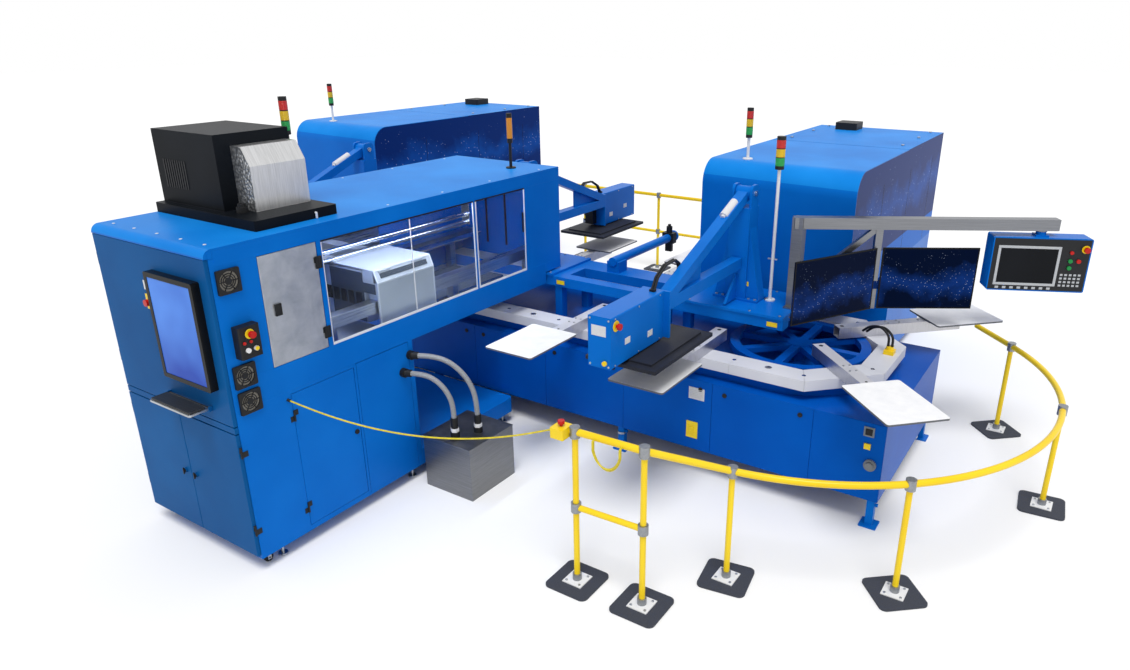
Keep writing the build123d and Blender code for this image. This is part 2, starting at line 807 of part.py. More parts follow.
def side_hinge(edge_y, side, z):
    # Both leaves lie on the side's face, one on the wall and one on the door
    x, y = side_hinge_line(edge_y, side)
    low, high = z - barrel_length / 2, z + barrel_length / 2
    wall_end = edge_y + side * 28
    door_end = edge_y - side * 28
    wall_near = edge_y + side * door_gap / 2
    outer = e1_right + leaf_thickness
    fixed_leaf = block(e1_right, outer, min(wall_near, wall_end), max(wall_near, wall_end),
                       low, z - running_gap / 2)
    moving_leaf = block(e1_right, outer, min(wall_near, door_end), max(wall_near, door_end),
                        z + running_gap / 2, high)
    return barrel_pair(x, y, z, fixed_leaf, moving_leaf)


def upper_door_hinges():
    return [end_hinge(-1, z) for z in (1180.0, 1800.0)]


def lower_door_hinges(side):
    return [end_hinge(side, z) for z in (300.0, 820.0)]


def side_door_hinges():
    return [side_hinge(side_door_front, -1, z) for z in (260.0, 900.0)]


def hatch_hinges():
    return [side_hinge(hatch_back, 1, z) for z in (1340.0, 1780.0)]


def make_e1_doors():
    front = e1_front
    left, right = e1_left, e1_right
    upper_low = mid_rail_top + door_gap
    upper_top = e1_top - edge_radius - door_gap
    split = (left + right) / 2
    door = block(left + door_gap, right - door_gap, front, front + door_thickness, upper_low, upper_top)
    door = fillet(door.edges().filter_by(Axis.Z).group_by(Axis.Y)[0], 4)
    frame = block(left + 60, right - 60, front + door_thickness, front + door_thickness + 1.5,
                  upper_low + 60, upper_top - 60)
    door = door + frame - stop_bore(end_stop_place())
    knuckles = [moving for fixed, moving in upper_door_hinges()]
    save("upper_end_door", [door] + knuckles + make_keyboard_tray())
    lower_low = e1_low + 30
    lower_top = mid_rail_low - door_gap
    spans = (("left", -1, left + door_gap, split - door_gap / 2, split - 55),
             ("right", 1, split + door_gap / 2, right - door_gap, split + 55))
    for name, hinge_side, x0, x1, latch_x in spans:
        door = block(x0, x1, front, front + door_thickness, lower_low, lower_top)
        door = fillet(door.edges().filter_by(Axis.Z).group_by(Axis.Y)[0], 4)
        latch = rod_y(latch_x, front - 10, front, (lower_low + lower_top) / 2, latch_radius)
        knuckles = [moving for fixed, moving in lower_door_hinges(hinge_side)]
        save("lower_end_door_%s" % name, [door, latch] + knuckles)
    side = block(right - door_thickness, right, side_door_front, side_door_back,
                 side_door_low, side_door_top)
    side = fillet(side.edges().filter_by(Axis.Z).group_by(Axis.X)[-1], 4)
    latch = rod_x(right, right + 10, side_door_back - 35, side_latch_height, latch_radius)
    knuckles = [moving for fixed, moving in side_door_hinges()]
    save("side_door", [side, latch] + knuckles)
    hatch = block(right - door_thickness, right, hatch_front, hatch_back,
                  window_low + door_gap, window_top - door_gap)
    hatch = fillet(hatch.edges().filter_by(Axis.Z).group_by(Axis.X)[-1], 4)
    latch = block(right, right + 12, hatch_front + 60, hatch_front + 100, 1540, 1610)
    knuckles = [moving for fixed, moving in hatch_hinges()]
    save("hatch_door", [hatch, latch] + knuckles)


def make_e1_window():
    x1 = e1_right - 8
    half = mullion_width / 2
    panes = [
        block(x1 - glass_thickness, x1, window_front, mullion_centre - half, window_low, window_top),
        block(x1 - glass_thickness, x1, mullion_centre + half, window_back, window_low, window_top),
    ]
    save("window_panes", panes)


def make_e1_gantry():
    # Two rails along the print bay and the blue inner wall with its slots
    left = e1_left + wall
    right = e1_right - wall
    y0 = window_front
    y1 = e1_back - wall
    deck_top = e1_deck + floor_plate
    rails = []
    for x0 in (left + 60, right - 160):
        rails.append(block(x0, x0 + 80, y0, y1, deck_top + 220, deck_top + 300))
        for y in (y0 + 60, (y0 + y1) / 2, -spine_half_width - 130):
            rails.append(block(x0 + 10, x0 + 70, y, y + 60, deck_top, deck_top + 220))
    save("print_rails", rails)


def carriage_low():
    return e1_deck + floor_plate + 300 + running_gap


def make_e1_carriage():
    left = e1_left + wall
    right = e1_right - wall
    low = carriage_low()
    front = window_front + carriage_rest - 20
    back = front + carriage_length
    head_right = right - 180
    head_left = head_right - carriage_width
    body = None
    for x0 in (left + 60, right - 160):
        shoe = block(x0 - 5, x0 + 85, front + 20, back - 60, low, low + 40)
        body = shoe if body is None else body + shoe
    head = block(head_left, head_right, front, back, low - 170, low + 190)
    head = fillet(head.edges().filter_by(Axis.Y).group_by(Axis.Z)[-1], 45)
    # Two bridge beams pass through notches in the top of the head
    for y0 in (front + 40, back - 80 - bridge_width):
        y1 = y0 + bridge_width
        body += block(left + 55, right - 75, y0, y1, low + 40, low + 200)
        head -= block(head_left - 1, head_right + 1, y0 - 0.5, y1 + 0.5, low + 39.5, low + 191)
    save("print_carriage", [body, head])


def make_touch_screen():
    low = keyboard_height + screen_rise
    high = low + screen_height
    face = e1_front - screen_thickness
    body = block(screen_left, screen_right, face, e1_front, low, high)
    body = fillet(body.edges().filter_by(Axis.Y), 12)
    body -= block(screen_left + screen_bezel, screen_right - screen_bezel, face - 1, face + 3,
                  low + screen_bezel, high - screen_bezel)
    save("touch_screen", body)


def make_keyboard_tray():
    # A folding shelf under the screen, hinged on a rod along its back edge
    x0, x1 = keyboard_span()
    axis_y = e1_front - 14
    tray = block(x0, x1, e1_front - keyboard_depth, axis_y, keyboard_height - 6, keyboard_height + 6)
    tray = fillet(tray.edges().filter_by(Axis.Z).group_by(Axis.Y)[0], 14)
    tray += rod_x(x0, x1, axis_y, keyboard_height, hinge_radius)
    tray -= rod_x(x0 - 1, x1 + 1, axis_y, keyboard_height, hinge_pin_radius + fit_clearance)
    keys = block(x0 + 12, x1 - 12, e1_front - keyboard_depth + 8, e1_front - 34,
                 keyboard_height + 6, keyboard_height + 18)
    keys = fillet(keys.edges().filter_by(Axis.Z), 5)
    save("keyboard_shelf", [tray, keys])
    brackets = []
    for edge, side in ((x0, -1), (x1, 1)):
        near = edge + side * 0.3
        far = edge + side * 8.3
        ear = block(min(near, far), max(near, far), e1_front - 24, e1_front,
                    keyboard_height - 14, keyboard_height + 14)
        pin = rod_x(min(near, edge - side * 20), max(near, edge - side * 20), axis_y, keyboard_height,
                    hinge_pin_radius)
        brackets.append(ear + pin)
    return brackets


def make_side_fittings():
    # Three square vent fans and the control box on the window side
    x = e1_right
    fittings = []
    for y, z in ((-3100.0, 1815.0), (-3100.0, 1265.0), (-3095.0, 1105.0)):
        frame = block(x, x + 14, y - 68, y + 68, z - 68, z + 68)
        frame = fillet(frame.edges().filter_by(Axis.X), 8)
        frame -= rod_x(x + 4, x + 15, y, z, 56)
        grille = rod_x(x + 4, x + 8, y, z, 20)
        for radius in (32.0, 44.0):
            grille += rod_x(x + 4, x + 8, y, z, radius) - rod_x(x + 3, x + 9, y, z, radius - 5)
        for angle in (0, 60, 120):
            spoke = Pos(x + 6, y, z) * Rot(angle, 0, 0) * Box(4, 112, 5)
            grille += spoke & rod_x(x + 4, x + 8, y, z, 55.9)
        fittings.append(frame + grille)
    box = block(x, x + 60, -3130, -3000, 1375, 1560)
    box = fillet(box.edges().filter_by(Axis.Z).group_by(Axis.X)[-1], 8)
    box -= stop_bore(side_stop_place())
    lamp = rod_x(x + 60, x + 72, -3090, 1425, 14) + rod_x(x + 60, x + 72, -3040, 1425, 14)
    fittings.append(box)
    fittings.append(lamp.solids()[0])
    fittings.append(lamp.solids()[1])
    route = cord_route()
    begin = Vector(*route[0])
    behind = (begin - Vector(*route[1])).normalized()
    gland = bar_round(begin + behind * 60, begin, 9)
    fittings.append(gland & block(x, x + 60, begin.Y - 60, begin.Y + 60, begin.Z - 60, begin.Z + 60))
    # Fixed hinge halves of every door on this cabinet
    pairs = upper_door_hinges() + lower_door_hinges(-1) + lower_door_hinges(1)
    pairs += side_door_hinges() + hatch_hinges()
    for fixed, moving in pairs:
        fittings.append(fixed)
    save("side_fittings", fittings)


def stop_button(outward):
    # A mushroom head whose stem slides in a bore, drawn along +Z from the mounting face
    stem = rod_z(0, 0, -stem_depth, 10 + button_travel, stem_radius)
    head = rod_z(0, 0, 10 + button_travel, 28 + button_travel, knob_radius)
    return outward * (stem + head)


def stop_bore(outward):
    return outward * rod_z(0, 0, -stem_depth - button_travel - 3, 1, stem_radius + fit_clearance)


def head_stop_place():
    x0, x1, y0, y1 = head_box_span(tower_stations[0], head_sides[0])
    return Pos(x1, y0 + 55, head_high - 60) * Rot(0, 90, 0)


def side_stop_place():
    return Pos(e1_right + 60, -3065, 1515) * Rot(0, 90, 0)


def end_stop_place():
    return Pos(end_stop_x, e1_front, 1620) * Rot(90, 0, 0)


def rail_stop_place():
    x0, x1, y0, y1, z0, z1 = stop_box()
    return Pos((x0 + x1) / 2, (y0 + y1) / 2, z1)


def panel_stop_place():
    return panel_place() * Pos(panel_width / 2 - 40, -panel_depth / 2, panel_top - 75) * Rot(90, 0, 0)


def make_stop_buttons():
    save("head_stop_button", stop_button(head_stop_place()))
    save("side_stop_button", stop_button(side_stop_place()))
    save("end_stop_button", stop_button(end_stop_place()))
    save("rail_stop_button", stop_button(rail_stop_place()))
    save("panel_stop_button", stop_button(panel_stop_place()))


def make_hood():
    # Exhaust unit on the roof: tray, dark box and louvred inlet
    left = e1_left
    right = left + hood_tray_length
    seat = e1_top + hood_tray_height
    tray = block(left, right, hood_front, hood_back, e1_top, seat)
    tray = fillet(tray.edges().filter_by(Axis.Z), 10)
    tray -= block(left + hood_wall, right - hood_wall, hood_front + hood_wall, hood_back - hood_wall,
                  e1_top - 1, seat - hood_wall)
    box_right = left + hood_box_length
    front = hood_front + hood_box_inset
    back = hood_back - 8
    box_top = seat + hood_box_height
    box = block(left, box_right, front, back, seat, box_top)
    box -= block(left + hood_wall, box_right - hood_wall, front + hood_wall, back - hood_wall,
                 seat - 1, box_top - hood_wall)
    tip = box_right + louvre_depth
    high = seat + louvre_height
    shoulder = high - louvre_slope_height
    profile = Polyline(
        (box_right, seat), (tip, seat), (tip, shoulder), (box_right + louvre_slope_width, high),
        (box_right, high), close=True,
    )
    louvre_front = hood_front + louvre_inset
    louvre = extrude(Plane.XZ.offset(-louvre_front) * make_face(profile), amount=-louvre_width)
    louvre -= block(box_right + 8, tip - 8, louvre_front + 8, louvre_front + louvre_width - 8,
                    seat - 1, shoulder - 7)
    save("exhaust_hood", [tray, box, louvre])


def make_cabinet_hardware():
    # Levelling feet under the window engine, the last two inside the hollow plinth
    parts = []
    rows = (
        (e1_front + 200, e1_low),
        (e1_step - 60, e1_low),
        (plinth_back - 80, plinth_top - floor_plate),
    )
    for x in (e1_left + 60, e1_right - 60):
        for y, seat in rows:
            foot = rod_z(x, y, 0, 12, 30) + rod_z(x, y, 12, seat, 9)
            parts.append(foot)
    save("levelling_feet", parts)


def caster_places():
    return ((e1_left + 75, e1_front + 95), (e1_right - 75, e1_front + 95))


def make_casters():
    wheel_radius = 29.0
    for index, (x, y) in enumerate(caster_places(), start=1):
        axle_y = y + 12
        axle_z = wheel_radius + 1
        plate = rod_z(x, y, e1_low - 6, e1_low, 28)
        crown = block(x - 17, x + 17, y - 16, axle_y + 12, e1_low - 18, e1_low - 6)
        cheeks = crown
        for x0 in (x - 17, x + 13):
            cheeks += block(x0, x0 + 4, axle_y - 12, axle_y + 12, axle_z - 12, e1_low - 18)
        cheeks -= rod_x(x - 30, x + 30, axle_y, axle_z, 5 + fit_clearance)
        save("caster_fork_%d" % index, plate + cheeks)
        wheel = rod_x(x - 12, x + 12, axle_y, axle_z, wheel_radius)
        wheel = fillet(wheel.edges(), 3)
        wheel += rod_x(x - 19, x + 19, axle_y, axle_z, 5)
        save("caster_wheel_%d" % index, wheel)


def engine_x(number):
    centre = station_x(number) + engine_offset
    return centre - engine_width / 2, centre + engine_width / 2


def make_engines():
    for index, number in enumerate(engine_stations, start=2):
        left, right = engine_x(number)
        top = engine_top - cover_sheet
        front = engine_front + cover_sheet
        pieces = []
        deck_top = e1_deck + floor_plate
        # Side walls follow the rounded front of the cover
        for x0 in (left, right - wall):
            side = block(x0, x0 + wall, front, engine_back, e1_deck, top)
            edge = side.edges().filter_by(Axis.X).group_by(Axis.Z)[-1].group_by(Axis.Y)[0]
            side = fillet(edge, cover_radius - cover_sheet)
            pieces.append(side)
        inner0, inner1 = left + wall, right - wall
        pieces.append(block(inner0, inner1, engine_back - wall, engine_back, e1_deck, top))
        pieces.append(block(inner0, inner1, engine_step, engine_back - wall, e1_deck, deck_top))
        pieces.append(block(inner0, inner0 + 200, front, engine_step, e1_deck, deck_top))
        pieces.append(block(inner1 - 200, inner1, front, engine_step, e1_deck, deck_top))
        # Fixed rear roof behind the cover's hinge line
        pieces.append(block(left, right, cover_split + 12, engine_back, top, engine_top))
        # Lower cabinet
        pieces.append(block(left, right, engine_step, engine_back, e1_low, e1_low + floor_plate))
        lower_z = e1_low + floor_plate
        pieces.append(block(left, left + wall, engine_step, engine_back, lower_z, e1_deck))
        pieces.append(block(right - wall, right, engine_step, engine_back, lower_z, e1_deck))
        pieces.append(block(inner0, inner1, engine_step, engine_step + wall, lower_z, e1_deck))
        pieces.append(block(inner0, inner1, engine_back - wall, engine_back, lower_z, e1_deck))
        for x in (left + 70, right - 70):
            for y in (engine_step + 80, engine_back - 80):
                pieces.append(rod_z(x, y, 0, e1_low, 30))
        # Roof vent box and print rail
        vent = block(left + 250, left + 470, engine_back - 330, engine_back - 90,
                     engine_top, engine_top + 70)
        pieces.append(fillet(vent.edges().filter_by(Axis.Z), 20))
        pieces.append(block(inner0, inner1, 1360, 1440, deck_top + 300, deck_top + 400))
        save("engine_cabinet_%d" % index, pieces)
        # Hinged cover: front plate, rolled corner and top plate
        rise = engine_top - cover_radius
        cover = [block(left, right, engine_front, front, e1_deck, rise)]
        outer = rod_x(left, right, engine_front + cover_radius, rise, cover_radius)
        outer -= rod_x(left - 1, right + 1, engine_front + cover_radius, rise, cover_radius - cover_sheet)
        quarter = block(left - 1, right + 1, engine_front - 1, engine_front + cover_radius,
                        rise, engine_top + 1)
        cover.append(outer & quarter)
        cover.append(block(left, right, engine_front + cover_radius, cover_split, top, engine_top))
        cover = cover[0] + cover[1] + cover[2]
        light_x = left + cover_light_x[index - 2]
        light = stack_light(light_x, engine_front + 210, engine_top, engine_top + 400, 26)
        save("engine_cover_%d" % index, [cover, light])
        middle = (left + right) / 2
        carriage = block(middle - 180, middle + 180, 1150, 1359.7, deck_top + 160, deck_top + 420)
        carriage = fillet(carriage.edges().filter_by(Axis.Z), 15)
        carriage += block(middle - 120, middle + 120, 1340, 1460, deck_top + 400.3, deck_top + 420)
        save("engine_carriage_%d" % index, carriage)


def make_stack_lights():
    lights = []
    places = (
        (-2690.0, -2190.0, e1_top, e1_top + 670, 26.0),
        (-2396.0, -359.0, e1_top, e1_top + 430, 22.0),
        (-276.0, 45.0, spine_top + deck_thickness, 2360.0, 32.0),
    )
    for place in places:
        lights.append(stack_light(*place))
    save("stack_lights", lights)


def stack_light(x, y, low, high, radius):
    # Foot, thin pole and lamp column
    lamp_low = high - lamp_height
    light = rod_z(x, y, low, low + 10, 40) + rod_z(x, y, low + 10, lamp_low, 12)
    return light + rod_z(x, y, lamp_low, high, radius)


def make_tank():
    width = tank_width
    depth = tank_depth
    shell_top = tank_height - 8
    outer = Pos(0, 0, shell_top / 2) * Box(width, depth, shell_top)
    outer -= Pos(0, 0, tank_height / 2) * Box(width - 6, depth - 6, tank_height - 6)
    lid = Pos(0, 0, tank_height - 4) * Box(width + 4, depth + 4, 8)
    place = Pos(tank_x, tank_y, 0)
    pieces = [place * outer, place * lid]
    for x, y in hose_bungs:
        pieces.append(rod_z(x, y, tank_height, tank_height + bung_height, 32))
    save("ink_tank", pieces)


def hose_route(outlet, bung):
    # Straight runs that drop step by step from the side coupling to above the bung
    outlet_y, outlet_z = outlet
    wall_x = e1_right + coupling_flange
    level = Vector(bung[0] - wall_x, bung[1] - outlet_y, 0)
    reach = level.length - coupling_length
    level = level.normalized()
    drops = [(share, math.radians(pitch)) for share, pitch in zip(hose_shares, hose_pitches)]
    unit = reach / sum(share * math.cos(pitch) for share, pitch in drops)
    point = Vector(wall_x, outlet_y, outlet_z) + level * coupling_length
    route = [point]
    for share, pitch in drops:
        point = point + level * (unit * share * math.cos(pitch))
        point = point - Vector(0, 0, unit * share * math.sin(pitch))
        route.append(point)
    return route


def make_hoses():
    couplings = []
    names = ("tank_hose_1", "tank_hose_2")
    for name, outlet, bung in zip(names, hose_outlets, hose_bungs):
        route = hose_route(outlet, bung)
        y, z = outlet
        wall_point = Vector(e1_right + coupling_flange, y, z)
        flange = rod_x(e1_right, e1_right + coupling_flange + 8, y, z, 32)
        couplings.append(flange + bar_round(wall_point, route[0], 26))
        foot = rod_z(bung[0], bung[1], tank_height + bung_height, route[-1].Z, 25)
        couplings.append(foot)
        radii = free_radii(route)
        print(name, "radii", [round(value) for value in radii])
        print(name, "points", [tuple(round(value, 1) for value in point) for point in route])
        solid = pipe(route, hose_diameter / 2, radii)
        print(name, "length", round(solid.volume / (math.pi * hose_diameter**2 / 4)))
        save(name, solid)
    save("hose_couplings", couplings)


def bar_round(start, end, radius):
    # A round bar between two points
    section = Plane(origin=start, z_dir=end - start) * Circle(radius)
    return extrude(section, amount=(end - start).length)


def rail_posts():
    # Foot place and height of every guard post
    posts = [(*place, rail_high) for place in high_posts]
    for angle in low_post_angles:
        x = rail_circle * math.cos(math.radians(angle))
        y = rail_circle * math.sin(math.radians(angle))
        posts.append((x, y, rail_low))
    for x in back_posts:
        posts.append((x, back_rail_y, rail_high))
    return posts


def guard_tubes():
    # Posts, top rails and rungs as separate tubes that end inside the clamps
    posts = rail_posts()
    slim = rail_radius - 3
    tubes = []
    for x, y, height in posts:
        tubes.append(rod_z(x, y, mat_thickness + plate_thickness, height - rail_radius - 3, slim))
    first = Vector(*high_posts[0], rail_high)
    corner = Vector(*high_posts[1], rail_high)
    along = (corner - first).normalized()
    tubes.append(bar_round(first - along * rail_stub, corner - along * tube_end, rail_radius))
    drop = Vector(0, 0, rung_height - rail_high)
    tubes.append(bar_round(first + drop + along * (slim + 1), corner + drop - along * (slim + 1), slim))
    low_start = Vector(*posts[2])
    slope = (low_start - corner).normalized()
    tubes.append(bar_round(corner + slope * tube_end, low_start - slope * tube_end, rail_radius))
    skip = math.degrees(tube_end / rail_circle)
    starts = (low_post_angles[0] + skip,) + low_post_angles[1:-1]
    for begin, finish in zip(starts, low_post_angles[1:]):
        arc = Plane.XY.offset(rail_low) * CenterArc((0, 0), rail_circle, begin, finish - begin)
        section = Plane(origin=arc @ 0, z_dir=arc % 0) * Circle(rail_radius)
        tubes.append(sweep(section, path=arc))
    tubes.append(bar_round(arc @ 1, (arc @ 1) + (arc % 1) * rail_tail, rail_radius))
    margin = 177.0
    tubes.append(rod_x(back_posts[0] - margin, back_posts[-1] + margin, back_rail_y, rail_high, rail_radius))
    for x0, x1 in zip(back_posts, back_posts[1:]):
        tubes.append(rod_x(x0 + slim + 1, x1 - slim - 1, back_rail_y, rung_height, slim))
    return tubes


def make_guard_rail():
    tubes = guard_tubes()
    save("guard_rail_tubes", tubes)
    fittings = []
    slim = rail_radius - 3
    for x, y, height in rail_posts():
        half = 65.0
        low = mat_thickness
        plate = block(x - half, x + half, y - half, y + half, low, low + plate_thickness)
        plate_top = low + plate_thickness
        socket = rod_z(x, y, plate_top, plate_top + 40, rail_radius + 6)
        fittings.append(plate + (socket - rod_z(x, y, plate_top, plate_top + 41, slim)))
        body = rod_z(x, y, height - 36, height + clamp_radius, clamp_radius)
        heights = [body]
        if height == rail_high:
            heights.append(rod_z(x, y, rung_height - 30, rung_height + 30, clamp_radius))
        for clamp in heights:
            for tube_solid in tubes:
                near = clamp & tube_solid
                if near is not None and near.solids():
                    clamp -= tube_solid
            fittings.extend(clamp.solids())
    x0, x1, y0, y1, z0, z1 = stop_box()
    box = block(x0, x1, y0, y1, z0, z1)
    box = fillet(box.edges().filter_by(Axis.Z), 6)
    for tube_solid in tubes:
        near = box & tube_solid
        if near is not None and near.solids():
            box -= tube_solid
    box -= stop_bore(rail_stop_place())
    fittings.append(box)
    route = cord_route()
    end = Vector(*route[-1])
    ahead = (end - Vector(*route[-2])).normalized()
    gland = bar_round(end, end + ahead * 60, 9)
    fittings.append(gland & block(x0 - 60, x0, y0, y1, z0, z1))
    save("rail_fittings", fittings)


def stop_box():
    # The emergency stop box at the free end of the high rail
    end_x = high_posts[0][0] - rail_stub
    y = high_posts[0][1]
    return end_x - 87, end_x, y - 78, y + 24, rail_high - 36, rail_high + 26


def make_mats():
    mats = []
    for index, (x, y, _) in enumerate(rail_posts()):
        mat = Pos(0, 0, mat_thickness / 2) * Box(mat_size, mat_size, mat_thickness)
        mat = fillet(mat.edges().filter_by(Axis.Z), 38)
        angle = math.degrees(math.atan2(y, x)) if 1 < index < 6 else 0
        mats.append(Pos(x, y, 0) * Rot(0, 0, angle) * mat)
    save("rail_mats", mats)


def cord_route():
    # The cord hangs in an even sag from the cabinet's side gland to the stop box
    box = stop_box()
    start = Vector(e1_right + 14, *cord_outlet)
    end = Vector(box[0] - 14, (box[2] + box[3]) / 2 - 10, rail_high - 8)
    steps = [0.0] + [0.08 + index * 0.084 for index in range(11)] + [1.0]
    route = []
    for share in steps:
        point = start + (end - start) * share
        route.append((point.X, point.Y, point.Z - 4 * cord_sag * share * (1 - share)))
    return route


def make_cord():
    route = cord_route()
    radii = free_radii(route)
    print("signal_cord radii", [round(value) for value in radii])
    print("signal_cord points", [tuple(round(value, 1) for value in point) for point in route])
    solid = pipe(route, cord_diameter / 2, radii)
    print("signal_cord length", round(solid.volume / (math.pi * cord_diameter**2 / 4)))
    save("signal_cord", solid)


def make_boom():
    low = spine_top + deck_thickness
    x = boom_post_x
    half = boom_size / 2
    foot = block(x - 45, x + 45, -80, 80, low, low + 12)
    post = block(x - half, x + half, -half, half, low + 12, boom_top)
    place = Pos(x, 0, 0) * Rot(0, 0, boom_degrees)
    arm = place * block(-half, boom_length, -half, half, boom_top - boom_size, boom_top)
    brace = bar((0, 0, low + 110), (590, 0, boom_top - half), 40, 40, (0, 1, 0))
    brace = place * brace
    hanger = display_hanger()
    end_x, end_y = swivel_centre()
    bush = rod_z(end_x, end_y, boom_top - boom_size - 8, boom_top - boom_size, 38)
    body = foot + post + arm + brace + hanger + bush
    body -= rod_z(end_x, end_y, boom_top - boom_size - 9, boom_top - boom_size + 50, 14 + fit_clearance)
    save("boom", body)


def display_hanger():
    # The drop bar under the boom that carries the display panels
    place = Pos(boom_post_x, 0, 0) * Rot(0, 0, boom_degrees)
    return place * block(540, 590, -25, 25, 1150, boom_top - boom_size)


def swivel_centre():
    angle = math.radians(boom_degrees)
    reach = boom_length - 105
    return boom_post_x + reach * math.cos(angle), reach * math.sin(angle)


def panel_place():
    x, y = swivel_centre()
    return Pos(x, y, 0) * Rot(0, 0, panel_degrees)


def make_control_panel():
    # An open-fronted housing with its face plate, on a swivel pin
    place = panel_place()
    z0 = panel_top - panel_height
    front = -panel_depth / 2
    half = panel_width / 2
    box = Pos(0, 0, (z0 + panel_top) / 2) * Box(panel_width, panel_depth, panel_height)
    box = fillet(box.edges().filter_by(Axis.Y), 14)
    box -= block(8 - half, half - 8, front - 1, -front - 8, z0 + 8, panel_top - 8)
    underside = boom_top - boom_size - 8
    neck = block(-45, 45, -40, 40, panel_top - 8, panel_top + 12)
    neck += rod_z(0, 0, panel_top + 12, underside - running_gap, 34)
    neck += rod_z(0, 0, underside - running_gap, underside + 45, 14)
    face = block(8 - half, half - 8, front, front + 26, z0 + 8, panel_top - 8)
    face = place * face - stop_bore(panel_stop_place())
    save("control_panel", [place * (box + neck), face])


def make_screens():
    # Two flat dark display panels hang from the boom's drop bar
    x = boom_post_x + 565 * math.cos(math.radians(boom_degrees))
    y = 565 * math.sin(math.radians(boom_degrees))
    panels = []
    for angle, x0, x1 in ((62.0, -790.0, -34.0), (32.0, 34.0, 720.0)):
        plate = block(x0, x1, -36, -26, 1155, 1610)
        lug_x = -34.0 if x0 < 0 else 34.0
        lug = block(min(0, lug_x), max(0, lug_x), -26, 0, 1300, 1360)
        lug += block(min(lug_x, 1.6 * lug_x), max(lug_x, 1.6 * lug_x), -26, 0, 1300, 1360)
        panel = Pos(x, y, 0) * Rot(0, 0, angle) * (plate + lug)
        panels.append(panel - display_hanger())
    save("display_panels", panels)


def make_rotary_union():
    # Air union on the link at the right end
    x = chain_apothem + 20
    y = 90.0
    base = block(x - 35, x + 35, y - 35, y + 35, link_top, link_top + 30)
    base += rod_z(x, y, link_top + 30, link_top + 55, 26)
    hoses = []
    for offset in (-14.0, 14.0):
        start = (x + offset, y, link_top + 55)
        route = [
            start,
            (x + offset, y, link_top + 130),
            (x + offset - 70, y + 40, link_top + 175),
            (x + offset - 160, y + 80, link_top + 150),
            (x + offset - 215, y + 105, link_top + 95),
        ]
        hoses.append(pipe(route, 9, free_radii(route)))
    save("rotary_union", [base] + hoses)


make_chain()
make_arms_and_pallets()
make_turning_wheel("drive_wheel", 0.0)
make_turning_wheel("idler_wheel", -centre_distance)
make_base()
make_base_panels()
make_gear_units()
make_jack_legs()
make_spine()
make_towers()
make_heads()
make_e1_cabinet()
make_e1_doors()
make_e1_window()
make_e1_gantry()
make_e1_carriage()
make_touch_screen()
make_side_fittings()
make_stop_buttons()
make_hood()
make_cabinet_hardware()
make_casters()
make_engines()
make_stack_lights()
make_tank()
make_hoses()
make_guard_rail()
make_mats()
make_cord()
make_boom()
make_control_panel()
make_screens()
make_rotary_union()
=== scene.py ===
import math
import bmesh
import bpy
from mathutils import Matrix, Vector


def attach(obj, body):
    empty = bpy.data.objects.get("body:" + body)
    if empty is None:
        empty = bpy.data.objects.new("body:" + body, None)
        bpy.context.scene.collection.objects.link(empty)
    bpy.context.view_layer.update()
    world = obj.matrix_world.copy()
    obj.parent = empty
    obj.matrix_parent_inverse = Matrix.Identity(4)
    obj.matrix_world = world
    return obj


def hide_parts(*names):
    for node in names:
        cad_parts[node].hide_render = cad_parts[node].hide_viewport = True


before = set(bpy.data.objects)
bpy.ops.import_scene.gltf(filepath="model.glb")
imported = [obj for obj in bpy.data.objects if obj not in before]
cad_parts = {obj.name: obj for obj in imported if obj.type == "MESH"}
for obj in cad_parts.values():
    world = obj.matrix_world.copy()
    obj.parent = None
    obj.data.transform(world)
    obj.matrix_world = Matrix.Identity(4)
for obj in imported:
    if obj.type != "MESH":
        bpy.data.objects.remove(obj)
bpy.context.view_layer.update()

# Studio: the photographer stands at the press's right front corner, above head height.
# A white sweep, even light from all round and one large soft lamp from the upper left.

camera = bpy.data.objects.new("camera", bpy.data.cameras.new("camera"))
bpy.context.scene.collection.objects.link(camera)
camera.location = (1.822, -5.480, 3.1)
camera.rotation_euler = (1.20250, 0.0, 0.57029)
camera.data.sensor_width = 36.0
camera.data.lens = 25.77
camera.data.shift_x = -0.0382
camera.data.clip_end = 200.0
bpy.context.scene.camera = camera
bpy.context.scene.view_settings.view_transform = "Standard"


def linear(tone):
    """A six-digit sRGB tone as linear light."""
    parts = [int(tone[i:i + 2], 16) / 255 for i in (1, 3, 5)]
    return [p / 12.92 if p <= 0.04045 else ((p + 0.055) / 1.055) ** 2.4 for p in parts]


def tune(node, **sockets):
    """Sets a shader node's constants by socket name, spaces written as underscores."""
    for name, value in sockets.items():
        socket = node.inputs[name.replace("_", " ")]
        if isinstance(value, str):
            value = linear(value)
        if socket.type == "RGBA":
            value = list(value)[:3] + [1.0]
        socket.default_value = value
    return node


def link(tree, source, output, target, socket):
    tree.links.new(source.outputs[output], target.inputs[socket])


def add(tree, kind, operation=None, at=None, **sockets):
    """One new shader node with its constants, laid out by the object coordinates given as at."""
    made = tree.nodes.new("ShaderNode" + kind)
    if operation:
        made.operation = operation
    if at:
        link(tree, at, "Object", made, "Vector")
    return tune(made, **sockets)


